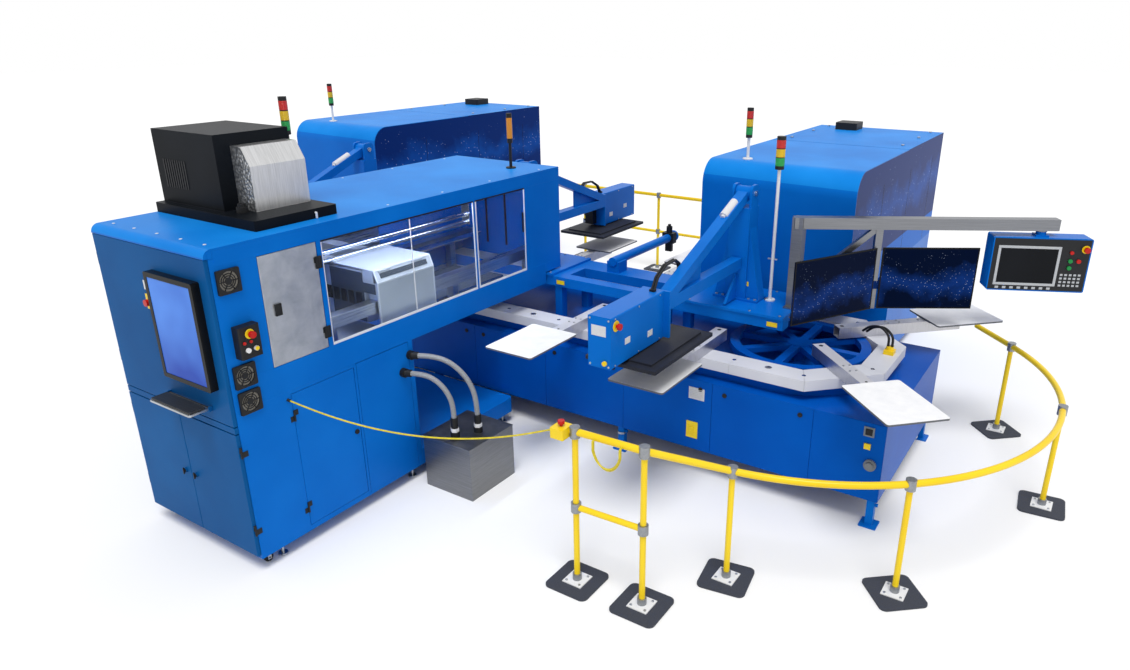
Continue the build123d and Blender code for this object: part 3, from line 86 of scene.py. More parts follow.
def studio_world():
    # Seen directly, mirrored or through a pane the sweep is pure white; as a lamp it is softer
    world = bpy.data.worlds.new("white_sweep")
    bpy.context.scene.world = world
    world.use_nodes = True
    tree = world.node_tree
    tree.nodes.clear()
    rays = add(tree, "LightPath")
    seen = add(tree, "Math", "MAXIMUM")
    through = add(tree, "Math", "MAXIMUM")
    lamp = add(tree, "Background", Color="#ffffff", Strength=0.65)
    white = add(tree, "Background", Color="#ffffff", Strength=1.0)
    mix = add(tree, "MixShader")
    out = add(tree, "OutputWorld")
    link(tree, rays, "Is Camera Ray", seen, 0)
    link(tree, rays, "Is Glossy Ray", seen, 1)
    link(tree, seen, 0, through, 0)
    link(tree, rays, "Is Transmission Ray", through, 1)
    link(tree, through, 0, mix, 0)
    link(tree, lamp, 0, mix, 1)
    link(tree, white, 0, mix, 2)
    link(tree, mix, 0, out, 0)


def studio_floor():
    # Matt white paper, 120 m across so that its edge never shows
    mesh = bmesh.new()
    bmesh.ops.create_grid(mesh, x_segments=1, y_segments=1, size=60.0)
    data = bpy.data.meshes.new("studio_floor")
    mesh.to_mesh(data)
    mesh.free()
    floor = bpy.data.objects.new("studio_floor", data)
    bpy.context.scene.collection.objects.link(floor)
    paper = bpy.data.materials.new("white_paper")
    paper.use_nodes = True
    shader = paper.node_tree.nodes["Principled BSDF"]
    tune(shader, Base_Color="#f7f7f7", Roughness=1.0, Specular_IOR_Level=0.0)
    data.materials.append(paper)


def studio_lamp():
    # A wide soft lamp: its 26 degree face gives soft-edged shadows
    lamp = bpy.data.objects.new("softbox", bpy.data.lights.new("softbox", "SUN"))
    bpy.context.scene.collection.objects.link(lamp)
    lamp.data.energy = 1.85
    lamp.data.angle = math.radians(26)
    lamp.rotation_euler = (math.radians(20), math.radians(10), math.radians(8))


studio_world()
studio_floor()
studio_lamp()


# Hoses of the ink tank: two braided grey hoses, 36 mm thick, from flanges on the engine's side
# down to the tank's bungs. They are clamped at both ends and keep their bend.


def surface(name):
    """A new material with its tree, its Principled shader and object coordinates."""
    made = bpy.data.materials.new(name)
    made.use_nodes = True
    tree = made.node_tree
    place = add(tree, "TexCoord")
    return made, tree, tree.nodes["Principled BSDF"], place


def relief(tree, shader, height, output, depth, edge=0.0):
    """Feeds a height in as a bump of that depth in metres, over softened edges."""
    bump = add(tree, "Bump", Strength=1.0, Distance=depth)
    link(tree, height, output, bump, "Height")
    if edge:
        soft = add(tree, "Bevel", Radius=edge)
        soft.samples = 4
        link(tree, soft, "Normal", bump, "Normal")
    link(tree, bump, "Normal", shader, "Normal")


def shade_range(tree, source, output, low, high, colour_low, colour_high):
    """Spreads a pattern from low to high over two tones."""
    spread = add(tree, "MapRange", From_Min=low, From_Max=high)
    mix = add(tree, "Mix")
    mix.data_type = "RGBA"
    mix.inputs[6].default_value = linear(colour_low) + [1.0]
    mix.inputs[7].default_value = linear(colour_high) + [1.0]
    link(tree, source, output, spread, "Value")
    link(tree, spread, "Result", mix, 0)
    return mix


def braided_sleeve():
    # Polyester braid over rubber: crossed strands 2.4 mm wide
    made, tree, shader, place = surface("braided_sleeve")
    turns = []
    for slope in (1.0, -1.0):
        wave = add(tree, "TexWave", Scale=3.0, Distortion=0.4, Detail=1.0)
        wave.bands_direction = "DIAGONAL"
        squash = add(tree, "Mapping", at=place, Scale=(130.0, 130.0 * slope, 130.0))
        link(tree, squash, "Vector", wave, "Vector")
        turns.append(wave)
    cross = add(tree, "Math", "MULTIPLY")
    link(tree, turns[0], "Fac", cross, 0)
    link(tree, turns[1], "Fac", cross, 1)
    tone = shade_range(tree, cross, 0, 0.0, 0.9, "#84878b", "#d2d4d6")
    link(tree, tone, 2, shader, "Base Color")
    tune(shader, Roughness=0.55)
    relief(tree, shader, cross, 0, 0.0012)
    return made


def cord_line(name, points, diameter, material):
    """A round cord through its corner points, in metres, each corner rounded by the curve."""
    data = bpy.data.curves.new(name, "CURVE")
    data.dimensions = "3D"
    data.bevel_depth = diameter / 2
    data.bevel_resolution = 6
    data.resolution_u = 12
    data.use_fill_caps = True
    line = data.splines.new("NURBS")
    line.points.add(len(points) - 1)
    for corner, point in zip(line.points, points):
        corner.co = (point[0], point[1], point[2], 1.0)
    line.order_u = 3
    line.use_endpoint_u = True
    data.materials.append(material)
    cord = bpy.data.objects.new(name, data)
    bpy.context.scene.collection.objects.link(cord)
    return cord


hose_thickness = 0.036
sleeve = braided_sleeve()
for name, node, length, points in (
        ("braided_hose_low", "tank_hose_1", 0.488, [
            (-2.0516, -1.9373, 0.860), (-1.9689, -1.9020, 0.860), (-1.8893, -1.8680, 0.8215),
            (-1.8252, -1.8406, 0.7441), (-1.7910, -1.8260, 0.6418), (-1.7910, -1.8260, 0.5471)]),
        ("braided_hose_high", "tank_hose_2", 0.671, [
            (-2.0529, -1.8595, 0.965), (-1.9428, -1.8033, 0.965), (-1.8369, -1.7490, 0.912),
            (-1.7516, -1.7053, 0.8056), (-1.7060, -1.6820, 0.6649), (-1.7060, -1.6820, 0.5347)])):
    hose = cord_line(name, points, hose_thickness, sleeve)
    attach(hose, "machine")
    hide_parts(node)
    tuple(points[0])


# Signal cord: a yellow jacketed cable, 10 mm thick, that sags from a gland on the engine's side
# to the stop box on the guard rail.


def cord_jacket():
    # Smooth soft plastic with faint handling marks
    made, tree, shader, place = surface("yellow_cord_jacket")
    marks = add(tree, "TexNoise", at=place, Scale=60.0, Detail=5.0)
    tone = shade_range(tree, marks, "Fac", 0.35, 0.7, "#c4b414", "#e2cf22")
    link(tree, tone, 2, shader, "Base Color")
    tune(shader, Roughness=0.42)
    relief(tree, shader, marks, "Fac", 0.0002)
    return made


signal_points = [
    (-2.1010, -2.8520, 1.0100), (-1.9812, -2.8060, 0.9673), (-1.8555, -2.7577, 0.9303),
    (-1.7297, -2.7094, 0.9011), (-1.6040, -2.6611, 0.8798), (-1.4782, -2.6128, 0.8665),
    (-1.3525, -2.5645, 0.8610), (-1.2268, -2.5162, 0.8634), (-1.1010, -2.4679, 0.8738),
    (-0.9753, -2.4196, 0.8920), (-0.8495, -2.3713, 0.9182), (-0.7238, -2.3230, 0.9522),
    (-0.6040, -2.2770, 0.9920)]
cord_thickness = 0.010
signal = cord_line("signal_cable", signal_points, cord_thickness, cord_jacket())
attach(signal, "machine")
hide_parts("signal_cord")
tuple(signal_points[0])


# Press base: a welded tube frame clad in folded steel skirts, all powder coated blue.
# The skirts are held by quarter-turn latches, and the feet are jack screws.


def coat(name, deep, light, roughness=0.34, peel=0.00012, edge=0.004, metal=0.0, shine=0.12,
         tint="#ffffff"):
    # Powder coat: orange-peel skin 2 mm apart, slow cloudy change of tone, a sheen of its own tint
    made, tree, shader, place = surface(name)
    clouds = add(tree, "TexNoise", at=place, Scale=1.7, Detail=3.0)
    skin = add(tree, "TexNoise", at=place, Scale=480.0, Detail=2.0)
    tone = shade_range(tree, clouds, "Fac", 0.3, 0.7, deep, light)
    link(tree, tone, 2, shader, "Base Color")
    rough = add(tree, "MapRange", From_Min=0.3, From_Max=0.7,
                To_Min=roughness - 0.05, To_Max=roughness + 0.06)
    link(tree, skin, "Fac", rough, "Value")
    link(tree, rough, "Result", shader, "Roughness")
    tune(shader, Metallic=metal, Specular_IOR_Level=shine, Specular_Tint=tint)
    relief(tree, shader, skin, "Fac", peel, edge)
    return made


def metal(name, deep, light, roughness, grain=(2.0, 2.0, 700.0), depth=0.00008, edge=0.002):
    # Bare metal: fine parallel brush lines along the part, with a slow change of tone
    made, tree, shader, place = surface(name)
    stretch = add(tree, "Mapping", at=place, Scale=grain)
    lines = add(tree, "TexNoise", Scale=1.0, Detail=6.0, Roughness=0.7)
    link(tree, stretch, "Vector", lines, "Vector")
    tone = shade_range(tree, lines, "Fac", 0.3, 0.7, deep, light)
    link(tree, tone, 2, shader, "Base Color")
    rough = add(tree, "MapRange", From_Min=0.3, From_Max=0.7,
                To_Min=roughness - 0.08, To_Max=roughness + 0.1)
    link(tree, lines, "Fac", rough, "Value")
    link(tree, rough, "Result", shader, "Roughness")
    tune(shader, Metallic=1.0)
    relief(tree, shader, lines, "Fac", depth, edge)
    return made


def moulding(name, deep, light, roughness=0.5, grain_mm=1.2, depth=0.00015, edge=0.0015):
    # Moulded plastic or rubber with a fine eroded grain
    made, tree, shader, place = surface(name)
    grain = add(tree, "TexNoise", at=place, Scale=1000.0 / grain_mm, Detail=3.0)
    tone = shade_range(tree, grain, "Fac", 0.35, 0.65, deep, light)
    link(tree, tone, 2, shader, "Base Color")
    tune(shader, Roughness=roughness, Specular_IOR_Level=0.3)
    relief(tree, shader, grain, "Fac", depth, edge)
    return made


def dress(node, finish, *rules):
    """Gives a carried-over CAD node its finish; each rule is a test on a face's centre in mm and
    its normal, and the finish for the faces that meet it."""
    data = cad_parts[node].data
    data.materials.clear()
    data.materials.append(finish)
    for test, other in rules:
        data.materials.append(other)
        number = len(data.materials) - 1
        for face in data.polygons:
            if test(face.center * 1000, face.normal):
                face.material_index = number


def plate(mesh, x0, x1, y0, y1, z0, z1, turn=None):
    """A flat plate or block between two corners in mm, each pair in either order."""
    size = Vector((abs(x1 - x0), abs(y1 - y0), abs(z1 - z0))) / 1000
    middle = Vector((x0 + x1, y0 + y1, z0 + z1)) / 2000
    place = Matrix.Translation(middle) @ Matrix.Diagonal((*size, 1))
    bmesh.ops.create_cube(mesh, size=1.0, matrix=(turn or Matrix()) @ place)


def round_bar(mesh, start, end, radius, sides=28, turn=None):
    """A round bar, boss or screw head between two points in mm."""
    start, end = Vector(start) / 1000, Vector(end) / 1000
    along = end - start
    place = Matrix.Translation((start + end) / 2) @ along.to_track_quat("Z", "Y").to_matrix().to_4x4()
    bmesh.ops.create_cone(mesh, cap_ends=True, segments=sides, radius1=radius / 1000,
                          radius2=radius / 1000, depth=along.length, matrix=(turn or Matrix()) @ place)


def bent_line(mesh, points, radius):
    """A thin bent tube or hose through points in mm, rounded at each bend."""
    for first, last in zip(points, points[1:]):
        round_bar(mesh, first, last, radius, sides=16)
        place = Matrix.Translation(Vector(last) / 1000)
        bmesh.ops.create_icosphere(mesh, subdivisions=2, radius=radius / 1000, matrix=place)


def fit(mesh, name, body, finish, soft=0.8):
    """Turns the drawn fitting into an object that rides on its body, its edges eased by soft mm."""
    data = bpy.data.meshes.new(name)
    bmesh.ops.recalc_face_normals(mesh, faces=mesh.faces)
    mesh.to_mesh(data)
    mesh.free()
    data.shade_smooth()
    data.set_sharp_from_angle(angle=math.radians(35))
    data.materials.append(finish)
    made = bpy.data.objects.new(name, data)
    bpy.context.scene.collection.objects.link(made)
    if soft:
        ease = made.modifiers.new("eased_edges", "BEVEL")
        ease.width = soft / 1000
        ease.segments = 2
        ease.limit_method = "ANGLE"
    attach(made, body)
    return made


# Powder coats on cabinets, skirts and rails, zinc on screws, plastics on latches and plates
blue_coat = coat("blue_powder_coat", "#0464c0", "#0a70ce", tint="#6cb0ff")
deep_blue_coat = coat("blue_skirt_coat", "#024ba8", "#0257b8", roughness=0.38, tint="#6cb0ff")
yellow_coat = coat("yellow_powder_coat", "#efc70e", "#f8d926", roughness=0.3, shine=0.3)
zinc = metal("zinc_screws", "#9fa3a8", "#c9ccd0", 0.32, (40.0, 40.0, 40.0))
black_moulding = moulding("black_moulding", "#0f1012", "#1b1c1f")
grey_label = moulding("bare_label", "#c9cbce", "#dcdde0", 0.45)

dress("base_frame", deep_blue_coat)
dress("base_panels", deep_blue_coat)
dress("jack_legs", blue_coat)
dress("gear_units", coat("gear_unit_enamel", "#24272b", "#30343a", 0.45))

skirt_face = 760
skirt_pitch = 730
skirt_end = -6840
latch_height = 684
latches = bmesh.new()
for joint in range(390, skirt_end, -skirt_pitch):
    for x in (joint - 90, joint - 635):
        if x < skirt_end:
            continue
        for side in (-1, 1):
            face = side * skirt_face
            head = face + side * 6
            round_bar(latches, (x, face, latch_height), (x, head, latch_height), 17)
            plate(latches, x - 11, x + 11, head, head + side * 3, latch_height - 3, latch_height + 3)
fit(latches, "skirt_latches", "machine", black_moulding)

sockets = bmesh.new()
plate(sockets, 722, 790, -skirt_face - 6, -skirt_face, 655, 722)
round_bar(sockets, (786, -skirt_face, 459), (786, -skirt_face - 16, 459), 40)
round_bar(sockets, (786, -skirt_face - 16, 459), (786, -skirt_face - 32, 459), 26)
fit(sockets, "end_sockets", "machine", moulding("grey_socket", "#6d7278", "#868b91"))
port = bmesh.new()
plate(port, 735, 778, -skirt_face - 12, -skirt_face - 6, 668, 710)
fit(port, "end_connector", "machine", black_moulding)
outlet = bmesh.new()
plate(outlet, 734, 776, -skirt_face - 10, -skirt_face, 566, 606)
fit(outlet, "end_yellow_outlet", "machine", yellow_coat)
grille = bmesh.new()
plate(grille, -520, -398, -skirt_face - 4, -skirt_face, 600, 690)
for slat in range(612, 678, 13):
    plate(grille, -510, -408, -skirt_face - 8, -skirt_face - 4, slat, slat + 6)
fit(grille, "skirt_grille", "machine", grey_label)
bracket = bmesh.new()
plate(bracket, -530, -440, -skirt_face - 6, -skirt_face, 290, 420)
plate(bracket, -505, -465, -skirt_face - 12, -skirt_face - 6, 330, 380)
fit(bracket, "yellow_switch_plate", "machine", yellow_coat)
knobs = bmesh.new()
for x, y in ((817, -420), (817, 420), (-1100, -725), (-3030, -725), (-4960, -725)):
    round_bar(knobs, (x, y, 135), (x, y, 150), 34, sides=6)
fit(knobs, "jack_screw_nuts", "machine", zinc)


# Spine and towers: two long beams on posts carry deck plates, and a column stands on each plate.
# Folded and welded steel in the same blue coat, with ground pivot pins.

tower_places = (-505, -2525, -4545)
pivot_height = 1948
deck_top = 1150
tower_foot_top = 1166
ground_steel = metal("ground_steel", "#a9abae", "#d4d6d8", 0.22, (60.0, 60.0, 900.0))


def is_pin(centre, normal):
    return abs(centre.y) < 22 and abs(centre.z - pivot_height) < 22


dress("spine_beams", blue_coat)
dress("towers", blue_coat, (is_pin, ground_steel))
fasteners = bmesh.new()
for x0 in tower_places:
    for x in (x0 - 155, x0 - 105, x0 + 105, x0 + 155):
        for y in (-70, 70):
            round_bar(fasteners, (x, y, tower_foot_top), (x, y, tower_foot_top + 10), 13, sides=6)
    for x in (x0 - 290, x0 + 200, x0 + 430):
        for y in (-265, 265):
            round_bar(fasteners, (x, y, deck_top), (x, y, deck_top + 7), 11, sides=6)
fit(fasteners, "deck_bolts", "machine", zinc)
tags = bmesh.new()
for x in (-1980, -2860, -120):
    plate(tags, x - 40, x + 40, -287, -286, 1070, 1105)
for x0 in tower_places:
    plate(tags, x0 + 57, x0 + 93, -56.5, -55, 1262, 1296)
fit(tags, "bare_yellow_tags", "machine", yellow_coat, 0.2)
clamp = bmesh.new()
plate(clamp, -1748, -1632, 1020, 1090, 1176, 1274)
round_bar(clamp, (-1690, 1055, 1274), (-1690, 1055, 1332), 28)
round_bar(clamp, (-1690, 1055, 1332), (-1690, 1055, 1352), 15)
plate(clamp, -1722, -1658, 1035, 1075, 1096, 1176)
fit(clamp, "cross_tube_clamp", "machine", black_moulding, 1.5)


# Chain: cast links on track glides, joined by steel pins, driven by a wheel at each end.
# The links are painted light grey, the arms are extruded aluminium, the pallets coated board.

pitch = 505
wheel_distance = 6060
arm_top = 985
link_paint = coat("link_grey_paint", "#c8cad2", "#dcdde4", roughness=0.4, shine=0.3)
extrusion = metal("arm_extrusion", "#b4b5bb", "#d2d2d8", 0.38, (900.0, 12.0, 12.0))
arm_paint = coat("arm_satin_finish", "#ccccd2", "#e0e0e4", roughness=0.33, metal=0.25, shine=0.4)
dress("chain_links", link_paint)
dress("chain_pins", ground_steel)
dress("drive_wheel", deep_blue_coat)
dress("idler_wheel", deep_blue_coat)
dress("pallet_arms", arm_paint, (lambda c, n: abs(n.z) < 0.2, extrusion))


def arm_turns():
    """Where each of the sixteen pallet arms starts and which way it points."""
    feet = [(-pitch * (1.0 + 2 * k), side * 90.0) for k in range(6) for side in (-1, 1)]
    feet += [(0.0, -45.0), (0.0, 45.0), (-wheel_distance, -135.0), (-wheel_distance, 135.0)]
    for x, heading in feet:
        yield Matrix.Translation((x / 1000, 0, 0)) @ Matrix.Rotation(math.radians(heading), 4, "Z")


# The holes in each arm's top are drawn as thin black discs: their black is painted shade for the hollow
# of each hole.
hole_shade_discs = bmesh.new()
clamp_bolts = bmesh.new()
for turn in arm_turns():
    for reach, radius in ((330, 15), (960, 9)):
        round_bar(hole_shade_discs, (reach, 0, arm_top - 0.1), (reach, 0, arm_top + 0.5), radius, turn=turn)
    for x in (700, 790):
        for y in (-22, 22):
            round_bar(clamp_bolts, (x, y, arm_top), (x, y, arm_top + 6), 8, sides=6, turn=turn)
fit(hole_shade_discs, "arm_hole_painted_shade", "machine", black_moulding, 0)
fit(clamp_bolts, "arm_clamp_bolts", "machine", zinc, 0.4)


def pallet_face():
    # Hard white coating with faint weave and print dust
    made, tree, shader, place = surface("pallet_white_coat")
    weave = add(tree, "TexNoise", at=place, Scale=700.0, Detail=2.0)
    dust = add(tree, "TexNoise", at=place, Scale=9.0, Detail=6.0, Roughness=0.65)
    tone = shade_range(tree, dust, "Fac", 0.35, 0.75, "#f4f4f5", "#e6e7ea")
    link(tree, tone, 2, shader, "Base Color")
    tune(shader, Roughness=0.55)
    relief(tree, shader, weave, "Fac", 0.00015, 0.002)
    return made


board_edge = moulding("board_edge", "#55585e", "#6b6e75", 0.6)
dress("pallets", pallet_face(), (lambda c, n: n.z < 0.2, board_edge))
dress("rotary_union", black_moulding, (lambda c, n: c.z < 956, yellow_coat))
link_top = 900
link_line = 609.6
rail_caps = bmesh.new()
for x in range(-wheel_distance, 1, pitch):
    for y in (-link_line, link_line):
        round_bar(rail_caps, (x, y, link_top), (x, y, link_top + 2.5), 24)
fit(rail_caps, "link_pin_caps", "machine", zinc, 0.5)


# Press heads: a pivoting welded arm carries a box of folded steel with the press cylinder inside.
# The platen below is cast, coated black, and slides on two ground rods.

box_end = 1815
box_low = 1200
platen_coat = coat("platen_black_coat", "#23252d", "#33363f", roughness=0.5, peel=0.0002)


def is_rod(centre, normal):
    return centre.z > 1195


def is_head_pin(centre, normal):
    return abs(centre.y) < 21 and abs(centre.z - pivot_height) < 21


for number, x0, side in zip((1, 2, 3), tower_places, (-1, 1, -1)):
    body = "head_%d" % number
    end = side * box_end
    box_right = x0 - 5
    dress("head_arm_%d" % number, blue_coat, (is_head_pin, ground_steel))
    dress("press_platen_%d" % number, platen_coat, (is_rod, ground_steel))
    screws = bmesh.new()
    for x in (x0 - 150, x0 - 20):
        for z in (1216, 1504):
            round_bar(screws, (x, end, z), (x, end + side * 4, z), 7, sides=6)
    for y in (1240, 1500, 1770):
        for z in (1215, 1505):
            round_bar(screws, (box_right, side * y, z), (box_right + 4, side * y, z), 6, sides=6)
    fit(screws, "head_box_screws_%d" % number, body, zinc, 0.4)
    bare = bmesh.new()
    plate(bare, x0 - 140, x0 - 40, end, end + side * 1.5, 1400, 1465)
    plate(bare, box_right, box_right + 1.5, side * 1600, side * 1660, 1310, 1350)
    plate(bare, box_right, box_right + 1.5, side * 1330, side * 1390, 1270, 1310)
    fit(bare, "head_bare_plates_%d" % number, body, grey_label, 0.2)
    valve = bmesh.new()
    plate(valve, x0 - 155, x0 - 60, side * 1112, side * 1175, 1225, 1385)
    for z in (1255, 1305, 1355):
        round_bar(valve, (x0 - 155, side * 1140, z), (x0 - 178, side * 1140, z), 11)
    fit(valve, "air_valve_block_%d" % number, body, black_moulding)
    # The bright cylinder lies 36 mm above the arm's sloping tube
    cap = bmesh.new()
    slope = Vector((0, side * 1155, -458)).normalized()
    start = Vector((x0, side * 20, 1938)) + slope * 165
    lift = Vector((0, side * 458, 1155)).normalized() * 36
    round_bar(cap, start + lift, start + slope * 190 + lift, 30, sides=36)
    round_bar(cap, start + lift + slope * 190, start + slope * 206 + lift, 17, sides=24)
    fit(cap, "arm_bright_cylinder_%d" % number, body, arm_paint, 2.0)
    airline = bmesh.new()
    for x in (x0 - 50, x0 - 68):
        bent_line(airline, [(x, side * y, z) for y, z in (
            (880, 1578), (905, 1625), (960, 1660), (1090, 1655), (1190, 1600), (1240, 1522))], 8)
    for y, z in ((877, 1577), (1240, 1525)):
        plate(airline, x0 - 78, x0 - 40, side * (y - 13), side * (y + 13), z - 5, z + 10)
    fit(airline, "head_air_lines_%d" % number, body, black_moulding, 0)
    pull = bmesh.new()
    round_bar(pull, (x0 - 46, end, 1236), (x0 - 46, end + side * 14, 1236), 15)
    fit(pull, "yellow_pull_knob_%d" % number, body, yellow_coat)
    rings = bmesh.new()
    for y in (1300, 1560):
        round_bar(rings, (x0 - 85, side * y, box_low - 7), (x0 - 85, side * y, box_low), 30)
    fit(rings, "rod_guide_rings_%d" % number, body, zinc, 0.6)


# Stop buttons: red moulded mushroom heads on yellow collars.
# Each is screwed through a hole in its panel and springs back when it is turned.

red_moulding = moulding("red_stop_plastic", "#b3120c", "#c8170f", 0.28)
for place_name in ("head", "side", "end", "rail", "panel"):
    dress("%s_stop_button" % place_name, red_moulding)
collar = bmesh.new()
round_bar(collar, (-510, -1760, 1460), (-507, -1760, 1460), 34)
fit(collar, "stop_collar_head", "head_1", yellow_coat)
collar = bmesh.new()
round_bar(collar, (-2055, -3065, 1515), (-2052, -3065, 1515), 28)
fit(collar, "stop_collar_side", "machine", yellow_coat)
collar = bmesh.new()
plate(collar, -2757, -2687, -3220, -3214, 1575, 1665)
fit(collar, "stop_collar_end", "upper_door", yellow_coat)
bare = bmesh.new()
plate(bare, -2757, -2687, -3217, -3214, 1690, 1745)
fit(bare, "bare_plate_end", "upper_door", grey_label, 0.3)


# Window engine: a tall cabinet of folded steel over the pallets, doors at its end, a long window.
# Inside are a blue back wall, a grey tray and the carriage's two rails.

cabinet_left, cabinet_right = -3225, -2115
roof_top = 2005
door_face = -3214
bay_floor = 1078
inner_grey = moulding("inner_tray_grey", "#b4b7bc", "#cbcdd1", 0.35, 4.0)
# The roof faces get a lighter blue than the walls, though the cabinets are one paint all over: painted
# light for the lamp on the tops.
roof_painted_light_coat = coat("roof_blue_painted_light", "#0a78d0", "#1a8ae2", roughness=0.42, shine=0.07, tint="#8cc0ff")
# The end doors and the rail cover get a darker, duller copy of the cabinet's blue: painted shade on the
# cabinet's end.
end_painted_shade_coat = coat("end_door_painted_shade_coat", "#0b4c86", "#105a98", roughness=0.45, shine=0.06, tint="#8cb8f0")


def is_inner_floor(centre, normal):
    return normal.z > 0.9 and 1060 < centre.z < 1180 and centre.y > -2600


def is_roof(centre, normal):
    return normal.z > 0.2 and centre.z > 1960


def is_hinge(centre, normal):
    return centre.x < cabinet_left + 2 or centre.x > cabinet_right + 0.5


# Its roof faces take the lighter roof coat, painted light on the tops.
dress("window_engine_cabinet", blue_coat, (is_inner_floor, inner_grey), (is_roof, roof_painted_light_coat))
rail_cover = bmesh.new()
plate(rail_cover, -3222, -2118, door_face + 1, door_face + 24, 939, 978)
fit(rail_cover, "end_rail_cover", "machine", end_painted_shade_coat, 1.5)
corners = bmesh.new()
for face, out in ((cabinet_right, 0.8), (cabinet_left, -0.8)):
    plate(corners, face, face + out, -3192, -3162, 1953, 1996)
fit(corners, "roof_end_corners", "machine", blue_coat, 0.2)
# The end doors take the darker end coat, painted shade; the side door keeps the cabinet's blue.
for node in ("upper_end_door", "lower_end_door_left", "lower_end_door_right", "side_door"):
    dress(node, end_painted_shade_coat if "end" in node else blue_coat, (is_hinge, black_moulding))
dress("levelling_feet", zinc)


def clear_pane():
    # Clear acrylic: mostly see-through, mirror-like at a low angle, with a faint haze of dust
    made, tree, shader, place = surface("clear_window")
    tree.nodes.remove(shader)
    smear = add(tree, "TexNoise", at=place, Scale=3.0, Detail=6.0)
    clear = add(tree, "BsdfTransparent", Color="#f4f8fb")
    shine = add(tree, "BsdfGlossy", Color="#ffffff", Roughness=0.02)
    haze = add(tree, "BsdfDiffuse", Color="#e8eef5")
    facing = add(tree, "LayerWeight", Blend=0.5)
    edge = add(tree, "Math", "POWER")
    edge.inputs[1].default_value = 5.0
    dust = add(tree, "MapRange", From_Min=0.3, From_Max=0.8, To_Min=0.005, To_Max=0.03)
    first = add(tree, "MixShader")
    second = add(tree, "MixShader")
    link(tree, smear, "Fac", dust, "Value")
    link(tree, facing, "Facing", edge, 0)
    link(tree, edge, 0, first, 0)
    link(tree, clear, 0, first, 1)
    link(tree, shine, 0, first, 2)
    link(tree, dust, "Result", second, 0)
    link(tree, first, 0, second, 1)
    link(tree, haze, 0, second, 2)
    link(tree, second, 0, tree.nodes["Material Output"], "Surface")
    return made


window_low, window_top = 1240, 1905
panes = ((-2485, -1142), (-1118, -550))
dress("window_panes", clear_pane())
white_bead = moulding("window_bead", "#d5d8dc", "#e8eaec", 0.4)
bead = bmesh.new()
gasket = bmesh.new()
for y0, y1 in panes:
    plate(bead, -2123, -2117, y0, y1, window_low, window_low + 16)
    plate(bead, -2123, -2117, y1 - 8, y1, window_low + 16, window_top - 12)
    plate(bead, -2123, -2117, y0, y0 + 8, window_low + 16, window_top - 12)
    plate(gasket, -2123, -2118, y0, y1, window_top - 12, window_top)
plate(bead, -2118, -2116, -1772, -1764, window_low + 16, window_top - 12)
fit(bead, "window_bead_strips", "machine", white_bead)
plate(gasket, -2117, -2111, -592, -574, 1560, 1720)
fit(gasket, "window_gasket_and_handle", "machine", black_moulding)
# Two slots in the inner wall, drawn as thin black plates on its face: their black is painted shade for
# the hollow of each slot.
slot_shade_plates = bmesh.new()
for x in (-2900, -2686):
    plate(slot_shade_plates, x - 12, x + 12, -114, -112, 1270, 1730)
fit(slot_shade_plates, "inner_wall_slot_painted_shade", "machine", black_moulding)
liner = bmesh.new()
liner_steel = metal("liner_bright_steel", "#a9adb2", "#d5d8dc", 0.3, (4.0, 4.0, 90.0))
plate(liner, cabinet_left + 18, cabinet_left + 22, -2480, -1090, 1180, 1960)
fit(liner, "inner_steel_liner", "machine", liner_steel)
tubes = bmesh.new()
for z in (1606, 1668):
    round_bar(tubes, (-2600, -2484, z), (-2600, -700, z), 18)
round_bar(tubes, (-3000, -2484, 1342), (-3000, -114, 1342), 22)
plate(tubes, -2640, -2560, -708, -702, 1590, 1992)
bright_tube = metal("gantry_bright_tube", "#c3c6ca", "#eceef0", 0.2, (30.0, 2.0, 30.0))
fit(tubes, "gantry_tubes", "machine", bright_tube)
table_left, table_right = -2832, -2308
table_front, table_back = -1440, -640
tray = bmesh.new()
plate(tray, table_left, table_right, table_front, table_back, 1178, 1188)
table_grey = coat("print_table_grey", "#4e5560", "#626a76", 0.3, shine=0.5)
fit(tray, "print_table_dark_sheet", "machine", table_grey)
rim = bmesh.new()
for x in (table_left - 8, table_right):
    plate(rim, x, x + 8, table_front - 8, table_back + 8, bay_floor, 1192)
for y in (table_front - 8, table_back):
    plate(rim, table_left, table_right, y, y + 8, bay_floor, 1192)
fit(rim, "print_table_rim", "machine", bright_tube, 0.5)


def strip_glow():
    # A lit diffuser over a row of lamps, a little brighter over each one
    made, tree, shader, place = surface("lit_diffuser")
    row = add(tree, "TexWave", at=place, Scale=6.0, Distortion=0.0)
    row.bands_direction = "Y"
    tone = shade_range(tree, row, "Fac", 0.0, 1.0, "#e9eef2", "#ffffff")
    link(tree, tone, 2, shader, "Base Color")
    link(tree, tone, 2, shader, "Emission Color")
    tune(shader, Emission_Strength=30.0)
    return made


strip = bmesh.new()
plate(strip, -2230, -2160, -2440, -700, 1975, 1990)
fit(strip, "bay_light_strip", "machine", strip_glow(), 0.5)
roof_screws = bmesh.new()
for x in (-3120, -2900, -2670, -2440, -2220):
    round_bar(roof_screws, (x, -3130, roof_top), (x, -3130, roof_top + 3), 9)
for y in (-1900, -1400, -900, -300):
    for x in (-3180, -2160):
        round_bar(roof_screws, (x, y, roof_top), (x, y, roof_top + 3), 8)
fit(roof_screws, "roof_cap_screws", "machine", white_bead, 0.5)
barrels = bmesh.new()
for z in (1340, 1780):
    plate(barrels, cabinet_right + 0.2, cabinet_right + 9, -2540, -2496, z - 37, z + 37)
fit(barrels, "hatch_hinge_covers", "machine", black_moulding)
door_latches = bmesh.new()
for x in (-2725, -2615):
    round_bar(door_latches, (x, door_face - 10, 526), (x, door_face - 14, 526), 13)
    plate(door_latches, x - 4, x + 4, door_face - 22, door_face - 14, 505, 547)
fit(door_latches, "lower_latch_handles_left", "lower_door_left", black_moulding)


# Print carriage: a sheet-metal shroud with a leaning lip over the print heads, on a two-beam bridge.
# It runs on two steel rails. Its near side has a dark cover with the row of heads before it.

